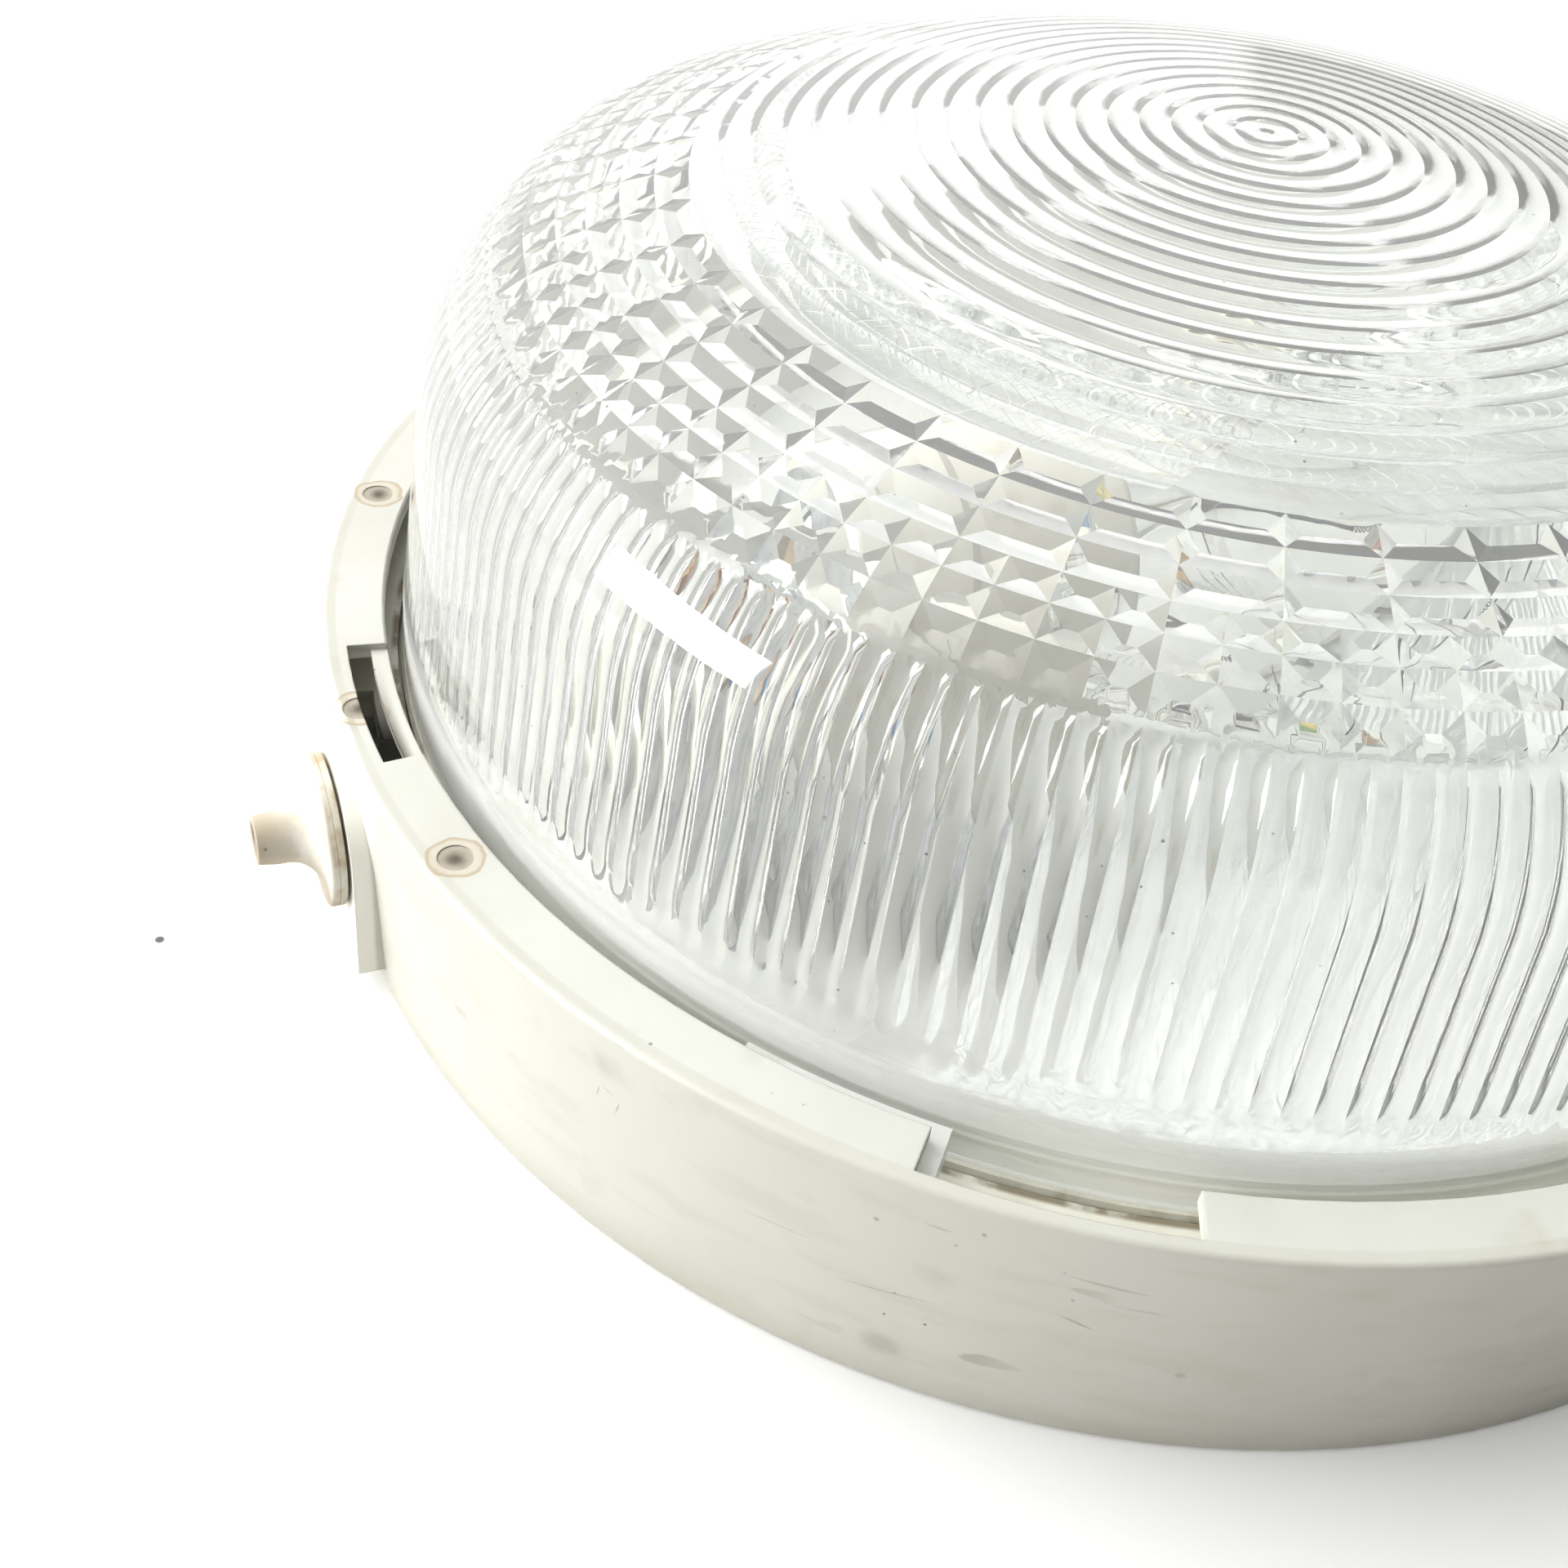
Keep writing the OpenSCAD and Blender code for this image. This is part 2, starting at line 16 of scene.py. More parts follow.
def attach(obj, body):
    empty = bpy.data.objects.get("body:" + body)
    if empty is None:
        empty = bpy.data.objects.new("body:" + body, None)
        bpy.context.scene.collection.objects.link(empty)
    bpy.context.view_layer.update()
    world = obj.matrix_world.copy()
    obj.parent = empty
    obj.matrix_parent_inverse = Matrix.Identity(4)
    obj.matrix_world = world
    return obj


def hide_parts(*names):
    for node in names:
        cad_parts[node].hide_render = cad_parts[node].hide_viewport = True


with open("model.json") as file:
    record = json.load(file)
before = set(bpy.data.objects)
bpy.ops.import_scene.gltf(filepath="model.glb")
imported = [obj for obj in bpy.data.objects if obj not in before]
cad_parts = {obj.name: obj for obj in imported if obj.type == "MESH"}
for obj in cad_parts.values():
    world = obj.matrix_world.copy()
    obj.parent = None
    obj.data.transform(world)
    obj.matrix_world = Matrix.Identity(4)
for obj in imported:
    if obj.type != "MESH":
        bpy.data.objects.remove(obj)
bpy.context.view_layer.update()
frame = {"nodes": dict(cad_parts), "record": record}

log = logging.getLogger("bulkhead_light")
MM = 0.001
SAME = 0.001 * MM
Socket = bpy.types.NodeSocket
Mesh = bmesh.types.BMesh
Outline = list[tuple[float, float]]


class Body(Enum):
    """The bodies that a piece can ride on."""

    HOUSING = "housing"
    GLASS = "glass"
    LAMP_FOOT = "lamp_foot"
    LAMP = "lamp"


# ---------------------------------------------------------------- finishes


def shade(code: str) -> tuple[float, float, float, float]:
    """Turn a display colour into the linear colour that shaders take.

    Args:
        code: Six hexadecimal digits, red first.

    Returns:
        Linear red, green, blue and an alpha of one.
    """
    parts = [int(code[i : i + 2], 16) / 255 for i in (0, 2, 4)]
    linear = [p / 12.92 if p <= 0.04045 else ((p + 0.055) / 1.055) ** 2.4 for p in parts]
    return linear[0], linear[1], linear[2], 1.0


class Bench:
    """A node material being put together on one piece's own coordinates."""

    def __init__(self, name: str) -> None:
        """Start an empty node tree.

        Args:
            name: The material's name.
        """
        self.material = bpy.data.materials.new(name)
        self.material.use_nodes = True
        self.tree = self.material.node_tree
        self.tree.nodes.clear()
        self.place = self.node("ShaderNodeTexCoord").outputs["Object"]

    def node(self, kind: str, inputs: dict | None = None, **settings: object) -> bpy.types.Node:
        """Add a node, set it up and plug it in.

        Args:
            kind: The node's type name.
            inputs: Sockets or plain values by input name or index.
            settings: The node's own properties.

        Returns:
            The new node.
        """
        made = self.tree.nodes.new(kind)
        for key, value in settings.items():
            setattr(made, key, value)
        for key, value in (inputs or {}).items():
            if isinstance(value, Socket):
                self.tree.links.new(value, made.inputs[key])
            else:
                made.inputs[key].default_value = value
        return made

    def sums(self, how: str, a: object, b: object = 0.0) -> Socket:
        """Return one arithmetic step on two values."""
        return self.node("ShaderNodeMath", {0: a, 1: b}, operation=how).outputs[0]

    def times(self, *factors: object) -> Socket:
        """Return several values multiplied together."""
        total = factors[0]
        for factor in factors[1:]:
            total = self.sums("MULTIPLY", total, factor)
        return total

    def noise(self, scale: float, detail: float = 3.0, at: object = None) -> Socket:
        """Return cloudy noise from 0 to 1 at a scale per metre."""
        spot = self.place if at is None else at
        return self.node("ShaderNodeTexNoise", {"Vector": spot, "Scale": scale, "Detail": detail}).outputs[0]

    def specks(self, scale: float, size: float, at: object = None) -> Socket:
        """Return a mask of sparse round specks.

        Args:
            scale: Specks per metre.
            size: Radius of a speck as a share of its cell.
            at: Coordinates to use in place of the piece's own.

        Returns:
            One inside a speck and zero elsewhere.
        """
        spot = self.place if at is None else at
        cells = self.node("ShaderNodeTexVoronoi", {"Vector": spot, "Scale": scale})
        return self.fade(cells.outputs["Distance"], size, size * 0.6)

    def fade(self, value: object, start: float, end: float) -> Socket:
        """Return a smooth step that is zero at start and one at end."""
        return self.node(
            "ShaderNodeMapRange",
            {"Value": value, "From Min": start, "From Max": end},
            interpolation_type="SMOOTHSTEP",
        ).outputs[0]

    def between(self, value: object, low: float, high: float) -> Socket:
        """Return a value from 0 to 1 stretched to run from low to high."""
        return self.node("ShaderNodeMapRange", {"Value": value, "To Min": low, "To Max": high}).outputs[0]

    def towards(self, way: object, aim: tuple[float, float, float]) -> Socket:
        """Return how nearly a direction points the way of another."""
        return self.node("ShaderNodeVectorMath", {0: way, 1: aim}, operation="DOT_PRODUCT").outputs["Value"]

    def blend(self, share: object, under: object, over: object) -> Socket:
        """Return the under colour with the over colour laid on it by share."""
        made = self.node("ShaderNodeMix", {0: share, 6: under, 7: over}, data_type="RGBA")
        return made.outputs[2]

    def tint(self, colour: object, code: str, *shares: object) -> Socket:
        """Return a colour with a display colour laid on it by the product of some shares."""
        return self.blend(self.times(*shares), colour, shade(code))

    def emboss(self, height: object, depth: float, under: object = None, strength: float = 1.0) -> Socket:
        """Return a normal raised by a height field.

        Args:
            height: The height from 0 to 1.
            depth: Metres from low to high.
            under: A normal to add the relief to.
            strength: Share of the relief that shows.

        Returns:
            The normal.
        """
        values = {"Height": height, "Distance": depth, "Strength": strength}
        if under is not None:
            values["Normal"] = under
        return self.node("ShaderNodeBump", values).outputs[0]

    def axes(self, at: object = None) -> Sequence[Socket]:
        """Return the three coordinates one by one."""
        return self.node("ShaderNodeSeparateXYZ", {0: self.place if at is None else at}).outputs

    def spot(self, x: object, y: object, z: object) -> Socket:
        """Return a vector made of three coordinates."""
        return self.node("ShaderNodeCombineXYZ", {0: x, 1: y, 2: z}).outputs[0]

    def near(self, centre: tuple[float, float, float], at: object = None) -> Socket:
        """Return the distance to a point."""
        spot = self.place if at is None else at
        made = self.node("ShaderNodeVectorMath", {0: spot, 1: centre}, operation="DISTANCE")
        return made.outputs["Value"]

    def close(self, shader: Socket) -> bpy.types.Material:
        """Send a shader to the surface and return the finished material."""
        self.node("ShaderNodeOutputMaterial", {"Surface": shader})
        return self.material


@dataclass(frozen=True)
class Finish:
    """A solid finish with drifting colour, uneven gloss, a fine grain and some dirt."""

    name: str
    colour: str
    drift: str
    gloss: tuple[float, float]
    grain: float = 900.0
    depth: float = 0.03 * MM
    mottle: float = 60.0
    metal: float = 0.0
    coat: float = 0.0
    dirt: str = "6f6655"
    dirty: float = 0.25

    def make(self) -> bpy.types.Material:
        """Build the material.

        Returns:
            The node material.
        """
        bench = Bench(self.name)
        cloud = bench.noise(self.mottle)
        fine = bench.noise(self.grain, 4.0)
        colour = bench.blend(bench.fade(cloud, 0.35, 0.7), shade(self.colour), shade(self.drift))
        colour = bench.tint(colour, self.dirt, bench.fade(bench.noise(self.mottle * 3.1, 5.0), 0.56, 0.74), self.dirty)
        rough = bench.between(bench.sums("ADD", bench.times(cloud, 0.6), bench.times(fine, 0.4)), *self.gloss)
        skin = bench.node(
            "ShaderNodeBsdfPrincipled",
            {
                "Base Color": colour,
                "Roughness": rough,
                "Normal": bench.emboss(fine, self.depth),
                "Metallic": self.metal,
                "Coat Weight": self.coat,
                "Coat Roughness": 0.12,
            },
        )
        return bench.close(skin.outputs[0])


@dataclass(frozen=True)
class Scar:
    """A scratch or rubbed spot on the wall: angle, height and size in millimetres, tilt and strength."""

    turn: float
    high: float
    long: float
    wide: float
    tilt: float
    share: float

    def mask(self, bench: Bench, unrolled: object, radius: float) -> Socket:
        """Return where the scar lies.

        Args:
            bench: The material being made.
            unrolled: The wall's unrolled coordinates, round and up.
            radius: The wall's radius.

        Returns:
            The scar's strength in its middle and zero outside it.
        """
        along = math.remainder(math.radians(self.turn), math.tau) * radius
        near = bench.node(
            "ShaderNodeMapping",
            {
                "Vector": unrolled,
                "Location": (along, self.high * MM, 0.0),
                "Rotation": (0.0, 0.0, math.radians(self.tilt)),
                "Scale": (self.long * MM, self.wide * MM, 1.0),
            },
            vector_type="TEXTURE",
        ).outputs[0]
        away = bench.node("ShaderNodeVectorMath", {0: near}, operation="LENGTH").outputs["Value"]
        return bench.times(bench.fade(away, 1.0, 0.2), self.share)


SCARS = (
    Scar(228.7, 7.7, 3.4, 2.6, 0.0, 0.45),
    Scar(229.4, 7.2, 1.5, 1.1, 20.0, 0.4),
    Scar(239.4, 29.4, 6.0, 0.3, -5.0, 0.6),
    Scar(241.5, 26.0, 4.4, 0.25, -3.0, 0.4),
    Scar(238.4, 21.8, 3.0, 0.3, -20.0, 0.75),
    Scar(228.4, 17.6, 8.0, 0.22, 9.0, 0.5),
    Scar(222.0, 21.5, 6.5, 0.2, 2.0, 0.4),
    Scar(244.6, 15.0, 1.0, 0.7, 0.0, 0.5),
    Scar(232.7, 33.1, 0.45, 0.45, 0.0, 0.9),
    Scar(227.2, 29.8, 0.5, 0.5, 0.0, 0.9),
    Scar(210.0, 26.8, 1.3, 0.16, 80.0, 0.7),
    Scar(210.7, 27.9, 1.3, 0.16, -20.0, 0.6),
    Scar(211.4, 25.9, 1.5, 0.16, 75.0, 0.7),
)


@dataclass(frozen=True)
class AgedMoulding:
    """Old cream moulding compound: ripple, scuffs, ejector stains, dust in the channel, and painted light and shade.
    """

    name: str = "aged_cream_moulding"
    colour: str = "d9d9d2"
    aged: str = "d0cfc6"
    painted_light: str = "f3f2ea"
    painted_side_shade: str = "c6c5b8"
    streak: str = "c3c0b0"
    rub: str = "bdb6a2"
    low_darkening: str = "a59e8e"
    smear: str = "969184"
    scratch: str = "7c776a"
    speck: str = "4a4038"
    dust: str = "a59a7c"
    painted_gap_shadow: str = "6f6144"
    painted_hollow_shade: str = "2b2620"
    brink: str = "6a6253"
    halo: str = "cdbb9b"
    stain: str = "b39f80"
    stain_disc: str = "a39a8a"
    stain_core: str = "4d4338"
    marks: tuple[tuple[float, float], ...] = ((153.3, 114.3 * MM), (179.0, 115.4 * MM), (194.5, 114.3 * MM))
    mark_reach: float = 3.8 * MM
    disc_reach: float = 2.35 * MM
    core_reach: float = 2.0 * MM
    top: float = 37.5 * MM
    foot_r: float = 116.5 * MM
    glass_r: float = 107.4 * MM
    groove_r: float = 108.2 * MM
    channel_r: float = 116.2 * MM
    wall_r: float = 117.6 * MM
    pad_x: float = -117.2 * MM
    slot_x: float = -107.0 * MM
    slot_r: float = 112.3 * MM
    hollow_r: float = 115.2 * MM
    ledge: float = 29.7 * MM

    def make(self) -> bpy.types.Material:
        """Build the material.

        Returns:
            The node material.
        """
        bench = Bench(self.name)
        x, y, z = bench.axes()
        around = bench.sums("ARCTAN2", y, x)
        out = bench.near((0.0, 0.0, 0.0), bench.spot(x, y, 0.0))
        side = bench.fade(out, self.foot_r - 0.2 * MM, self.foot_r + 0.2 * MM)
        drawn = bench.spot(bench.times(around, 0.03), out, z)
        colour = bench.blend(bench.fade(bench.noise(26.0, 4.0), 0.38, 0.68), shade(self.colour), shade(self.aged))
        colour = bench.tint(colour, self.streak, bench.fade(bench.noise(260.0, 5.0, drawn), 0.5, 0.72), side, 0.35)
        colour = bench.tint(colour, self.rub, bench.fade(bench.noise(95.0, 6.0), 0.6, 0.78), 0.3)
        patchy = bench.between(bench.noise(140.0, 4.0), 0.0, 0.5)
        # Patchy darkening towards the bottom of the wall.
        colour = bench.tint(colour, self.low_darkening, bench.fade(z, 6 * MM, 0.0), patchy)
        scratch, smears = self.scuffs(bench, around, z, side)
        colour = bench.tint(colour, self.smear, smears)
        colour = bench.tint(colour, self.scratch, scratch)
        # Painted shade: the side wall is darkened against the lit top.
        colour = bench.tint(colour, self.painted_side_shade, side, 0.4)
        # Painted light: the pad's front face, which lies in shade, is lightened towards white.
        colour = bench.tint(colour, self.painted_light, bench.fade(x, self.pad_x, self.pad_x - 0.6 * MM), 0.8)
        colour = self.stains(bench, colour, z)
        colour = self.channel_light_shade_and_dust(bench, colour, out, z)
        colour = self.slot_shade_and_brink(bench, colour, out)
        some = bench.fade(bench.noise(33.0), 0.5, 0.66)
        colour = bench.tint(colour, self.speck, bench.specks(210.0, 0.055), some, 0.75)
        soft = bench.node("ShaderNodeBevel", {"Radius": 0.35 * MM}, samples=4).outputs[0]
        waves = bench.emboss(bench.noise(420.0, 3.0, drawn), 0.06 * MM, soft, 0.7)
        dents = bench.emboss(bench.sums("ADD", scratch, smears), -0.06 * MM, waves)
        skin = bench.node(
            "ShaderNodeBsdfPrincipled",
            {
                "Base Color": colour,
                "Roughness": bench.between(bench.noise(120.0, 5.0), 0.36, 0.62),
                "Normal": bench.emboss(bench.noise(1700.0, 2.0), 0.02 * MM, dents),
                "Specular IOR Level": 0.42,
            },
        )
        return bench.close(skin.outputs[0])

    def scuffs(self, bench: Bench, around: object, z: object, side: object) -> tuple[object, object]:
        """Return masks of thin scratches round the wall and of soft rubbed smears."""
        thin = bench.spot(bench.times(around, 0.9), bench.times(z, 34.0), 0.0)
        some = bench.fade(bench.noise(16.0, 2.0), 0.48, 0.6)
        scratch = bench.times(bench.fade(bench.noise(7.0, 2.0, thin), 0.67, 0.7), some)
        unrolled = bench.spot(bench.times(around, self.wall_r), z, 0.0)
        for scar in SCARS:
            scratch = bench.sums("MAXIMUM", scratch, scar.mask(bench, unrolled, self.wall_r))
        smear = bench.times(bench.fade(bench.noise(48.0, 4.0), 0.64, 0.78), side, 0.5)
        return bench.times(scratch, side, 0.8), smear

    def stains(self, bench: Bench, colour: object, z: object) -> Socket:
        """Return the colour with a tan ring, a grey disc and a brown core at each ejector mark."""
        wobble = bench.times(bench.sums("SUBTRACT", bench.noise(330.0, 3.0), 0.5), 1.6 * MM)
        high = bench.fade(z, self.top - 1.2 * MM, self.top - 0.8 * MM)
        inner = self.mark_reach - 0.3 * MM
        for angle, radius in self.marks:
            turn = math.radians(angle)
            away = bench.near((radius * math.cos(turn), radius * math.sin(turn), self.top))
            wavy = bench.sums("ADD", away, wobble)
            halo = bench.fade(wavy, self.mark_reach, inner)
            edge = bench.sums("SUBTRACT", halo, bench.fade(wavy, inner, inner - 0.6 * MM))
            near = bench.sums("ADD", away, bench.times(wobble, 0.25))
            disc = bench.fade(near, self.disc_reach, self.disc_reach - 0.35 * MM)
            core = bench.fade(wavy, self.core_reach, 0.0)
            colour = bench.tint(colour, self.halo, halo, high, 0.3)
            colour = bench.tint(colour, self.stain, edge, high, 0.6)
            colour = bench.tint(colour, self.stain_disc, disc, high, 0.65)
            colour = bench.tint(colour, self.stain_core, core, high, 0.85)
        return colour

    def channel_light_shade_and_dust(self, bench: Bench, colour: object, out: object, z: object) -> Socket:
        """Return the colour with painted light in the channel, a thin line of old dust on its ledge and a painted
        shadow line at the glass foot.
        """
        under = bench.fade(z, self.top - 0.6 * MM, self.top - 1.6 * MM)
        outer = self.channel_r + 0.6 * MM
        within = bench.fade(out, outer, self.channel_r + 0.2 * MM)
        # Painted light: the channel under the flange is lightened against its own shade.
        colour = bench.tint(colour, self.painted_light, within, under, 0.8)
        ledge = bench.times(
            bench.fade(z, self.ledge + 0.9 * MM, self.ledge + 0.3 * MM),
            bench.fade(z, self.ledge - 3 * MM, self.ledge - 1 * MM),
        )
        worn = bench.between(bench.noise(150.0, 5.0), 0.0, 0.55)
        inner = bench.fade(out, self.glass_r, self.glass_r + 1 * MM)
        colour = bench.tint(colour, self.dust, inner, bench.fade(out, outer, self.channel_r), worn, ledge)
        # Painted shadow: a dark brown line at the glass foot, where the gap between glass and ledge lies in shade.
        line = bench.times(
            bench.fade(out, self.groove_r, self.groove_r + 0.3 * MM),
            bench.fade(out, self.groove_r + 1.4 * MM, self.groove_r + 0.7 * MM),
        )
        return bench.tint(colour, self.painted_gap_shadow, line, bench.fade(bench.noise(210.0, 4.0), 0.3, 0.55), ledge, 0.8)

    def slot_shade_and_brink(self, bench: Bench, colour: object, out: object) -> Socket:
        """Return the colour with painted shade in the hollow over the cable entry and a darker band along the slot's
        brink.
        """
        x, y, z = bench.axes()
        hollow = bench.times(
            bench.fade(out, 100.2 * MM, 102 * MM),
            bench.fade(out, self.hollow_r, self.hollow_r - 0.4 * MM),
            bench.fade(z, 35.8 * MM, 31 * MM),
            bench.fade(x, self.slot_x, self.slot_x - 3 * MM),
            bench.between(bench.fade(y, 15.5 * MM, 3 * MM), 0.3, 1.0),
        )
        # Painted shade: the hollow over the cable entry is darkened, most deep down, as if in shadow.
        colour = bench.tint(colour, self.painted_hollow_shade, hollow)
        return bench.tint(
            colour,
            self.brink,
            bench.fade(out, self.slot_r - 1.7 * MM, self.slot_r),
            bench.fade(out, 116 * MM, 115.4 * MM),
            bench.fade(z, 35.5 * MM, 36.2 * MM),
            bench.fade(z, 37.2 * MM, 37 * MM),
            bench.fade(x, self.slot_x, self.slot_x - 1.5 * MM),
            bench.fade(y, 14 * MM, -6 * MM),
            0.85,
        )


@dataclass(frozen=True)
class PressedGlass:
    """Clear pressed glass with a faint ripple, a thin pale film, a little dust and lamps let through."""

    name: str
    tint: tuple[float, float, float, float]
    ripple: float
    smudge: tuple[float, float]
    dusty: float
    ior: float = 1.5
    haze: float = 0.0
    frosted: float = 0.0
    foot_z: float = 38.2 * MM

    def make(self) -> bpy.types.Material:
        """Build the material.

        Returns:
            The node material.
        """
        bench = Bench(self.name)
        body = bench.node(
            "ShaderNodeBsdfPrincipled",
            {
                "Base Color": self.tint,
                "Roughness": bench.between(bench.fade(bench.noise(38.0, 5.0), 0.5, 0.8), *self.smudge),
                "IOR": self.ior,
                "Transmission Weight": 1.0,
                "Normal": bench.emboss(bench.noise(130.0, 2.0), self.ripple),
            },
        )
        dust = bench.times(bench.specks(240.0, 0.05), bench.fade(bench.noise(21.0), 0.48, 0.64), self.dusty)
        film = bench.node("ShaderNodeBsdfPrincipled", {"Base Color": shade("f4f4f2"), "Roughness": 0.6})
        hazed = bench.between(bench.noise(34.0, 5.0), self.haze * 0.6, self.haze * 1.4)
        if self.frosted:
            foot = bench.fade(bench.axes()[2], self.foot_z + 2.8 * MM, self.foot_z)
            hazed = bench.sums("ADD", hazed, bench.times(foot, self.frosted))
        dulled = bench.node("ShaderNodeMixShader", {0: hazed, 1: body.outputs[0], 2: film.outputs[0]})
        dirt = bench.node("ShaderNodeBsdfPrincipled", {"Base Color": shade("5c5750"), "Roughness": 0.8})
        soiled = bench.node("ShaderNodeMixShader", {0: dust, 1: dulled.outputs[0], 2: dirt.outputs[0]})
        path = bench.node("ShaderNodeLightPath")
        spared = bench.sums("MAXIMUM", path.outputs["Is Shadow Ray"], path.outputs["Is Diffuse Ray"])
        open_way = bench.node("ShaderNodeBsdfTransparent", {"Color": (0.93, 0.94, 0.935, 1.0)})
        return bench.close(
            bench.node("ShaderNodeMixShader", {0: spared, 1: soiled.outputs[0], 2: open_way.outputs[0]}).outputs[0]
        )


@dataclass(frozen=True)
class StainedRubber:
    """Pale rubber of the cable entry, brown with handling towards its tip."""

    name: str = "stained_beige_rubber"
    pale: str = "dfdcd3"
    drift: str = "cdc6b6"
    tip: str = "9d8a6d"
    underside: str = "8f7c5f"
    rim: str = "a98f6c"
    spot: str = "59483a"

    def make(self) -> bpy.types.Material:
        """Build the material.

        Returns:
            The node material.
        """
        bench = Bench(self.name)
        x, _, z = bench.axes()
        cloud = bench.noise(170.0, 5.0)
        colour = bench.blend(bench.fade(cloud, 0.35, 0.65), shade(self.pale), shade(self.drift))
        worn = bench.fade(bench.sums("ADD", x, bench.times(cloud, 4 * MM)), -122.5 * MM, -128.5 * MM)
        colour = bench.tint(colour, self.tip, worn, 0.55)
        low = bench.fade(z, 21.5 * MM, 12.5 * MM)
        colour = bench.tint(colour, self.underside, low, bench.fade(x, -117.5 * MM, -121.5 * MM), 0.55)
        rim = bench.fade(x, -122.2 * MM, -121.6 * MM)
        colour = bench.tint(colour, self.rim, rim, bench.fade(bench.noise(300.0, 4.0), 0.42, 0.62), 0.5)
        some = bench.fade(bench.noise(160.0), 0.52, 0.62)
        colour = bench.tint(colour, self.spot, bench.specks(420.0, 0.12), some, 0.7)
        skin = bench.node(
            "ShaderNodeBsdfPrincipled",
            {
                "Base Color": colour,
                "Roughness": bench.between(cloud, 0.5, 0.78),
                "Normal": bench.emboss(bench.noise(900.0, 4.0), 0.08 * MM),
                "Subsurface Weight": 0.08,
                "Subsurface Radius": (2 * MM, 1.5 * MM, 1 * MM),
            },
        )
        return bench.close(skin.outputs[0])


class Finishes:
    """Every finish on the light, made once and named by the record's material slots."""

    def __init__(self) -> None:
        """Make the finishes."""
        plain = (
            Finish("dark_rubber", "34322e", "45413a", (0.55, 0.8), 700.0, 0.06 * MM, dirt="7a7264"),
            Finish("pale_rubber", "cfccc0", "bdb9ac", (0.55, 0.8), 700.0, 0.06 * MM, dirt="8c8470", dirty=0.5),
            Finish(
                "white_enamel", "e4e4e0", "dbdad3", (0.16, 0.34), 500.0, 0.02 * MM, 24.0,
                coat=0.3, dirt="c4bdaa", dirty=0.5,
            ),
            Finish(
                "zinc_plate", "c4c6c8", "a9abac", (0.28, 0.5), 1400.0, 0.02 * MM, 160.0,
                metal=1.0, dirt="8d8578", dirty=0.5,
            ),
            Finish(
                "porcelain", "f4f1e8", "ece7da", (0.12, 0.26), 420.0, 0.03 * MM, 45.0,
                coat=0.5, dirt="c2b69c", dirty=0.4,
            ),
            Finish(
                "nickel_plate", "cfcac0", "b9b2a4", (0.18, 0.36), 1200.0, 0.01 * MM, 120.0,
                metal=1.0, dirt="857a68", dirty=0.4,
            ),
            Finish(
                "brass", "c39a52", "a67f3e", (0.22, 0.42), 1200.0, 0.02 * MM, 150.0,
                metal=1.0, dirt="6b5230", dirty=0.5,
            ),
            Finish("white_nylon", "efede4", "e2ddcc", (0.38, 0.55), 900.0, 0.02 * MM, 90.0, dirt="bcb49c"),
            Finish("black_vitrite", "1c1b1e", "2a282b", (0.08, 0.2), 500.0, 0.02 * MM, 140.0, coat=0.4),
            Finish("tungsten", "6e6f72", "5a5a5c", (0.35, 0.5), 1500.0, 0.01 * MM, 300.0, metal=1.0),
            Finish("brown_sheath", "7d4b2c", "6b3f24", (0.38, 0.55), 800.0, 0.02 * MM, 80.0),
            Finish("blue_sheath", "4f7ba6", "436c95", (0.38, 0.55), 800.0, 0.02 * MM, 80.0),
        )
        self.made = {finish.name: finish.make() for finish in plain}
        self.made["cream_moulding"] = AgedMoulding().make()
        self.made["beige_rubber"] = StainedRubber().make()
        self.made["clear_glass"] = PressedGlass(
            "clear_pressed_glass", (0.985, 0.992, 0.987, 1.0), 0.03 * MM, (0.0, 0.05), 0.8, 1.52, 0.08, 0.4
        ).make()
        self.made["bulb_glass"] = PressedGlass(
            "clear_bulb_glass", (0.992, 0.995, 0.992, 1.0), 0.02 * MM, (0.0, 0.03), 0.3, 1.46, 0.03
        ).make()
        self.made["green_sheath"] = self.striped("green_sheath", "6f9a3f", "d8c04a")

    def striped(self, name: str, ground: str, stripe: str) -> bpy.types.Material:
        """Make a sheath with long stripes of a second colour.

        Args:
            name: The material's name.
            ground: The sheath's colour.
            stripe: The colour of the stripes.

        Returns:
            The node material.
        """
        bench = Bench(name)
        uneven = bench.sums("ADD", bench.axes()[2], bench.times(bench.noise(60.0), 0.6 * MM))
        band = bench.fade(uneven, 14.3 * MM, 14.6 * MM)
        colour = bench.blend(band, shade(ground), shade(stripe))
        skin = bench.node(
            "ShaderNodeBsdfPrincipled",
            {
                "Base Color": colour,
                "Roughness": bench.between(bench.noise(300.0), 0.38, 0.55),
                "Normal": bench.emboss(bench.noise(800.0), 0.02 * MM),
            },
        )
        return bench.close(skin.outputs[0])

    def of(self, slot: str) -> bpy.types.Material:
        """Return the finish of a material slot."""
        return self.made[slot]


# ---------------------------------------------------------------- making pieces


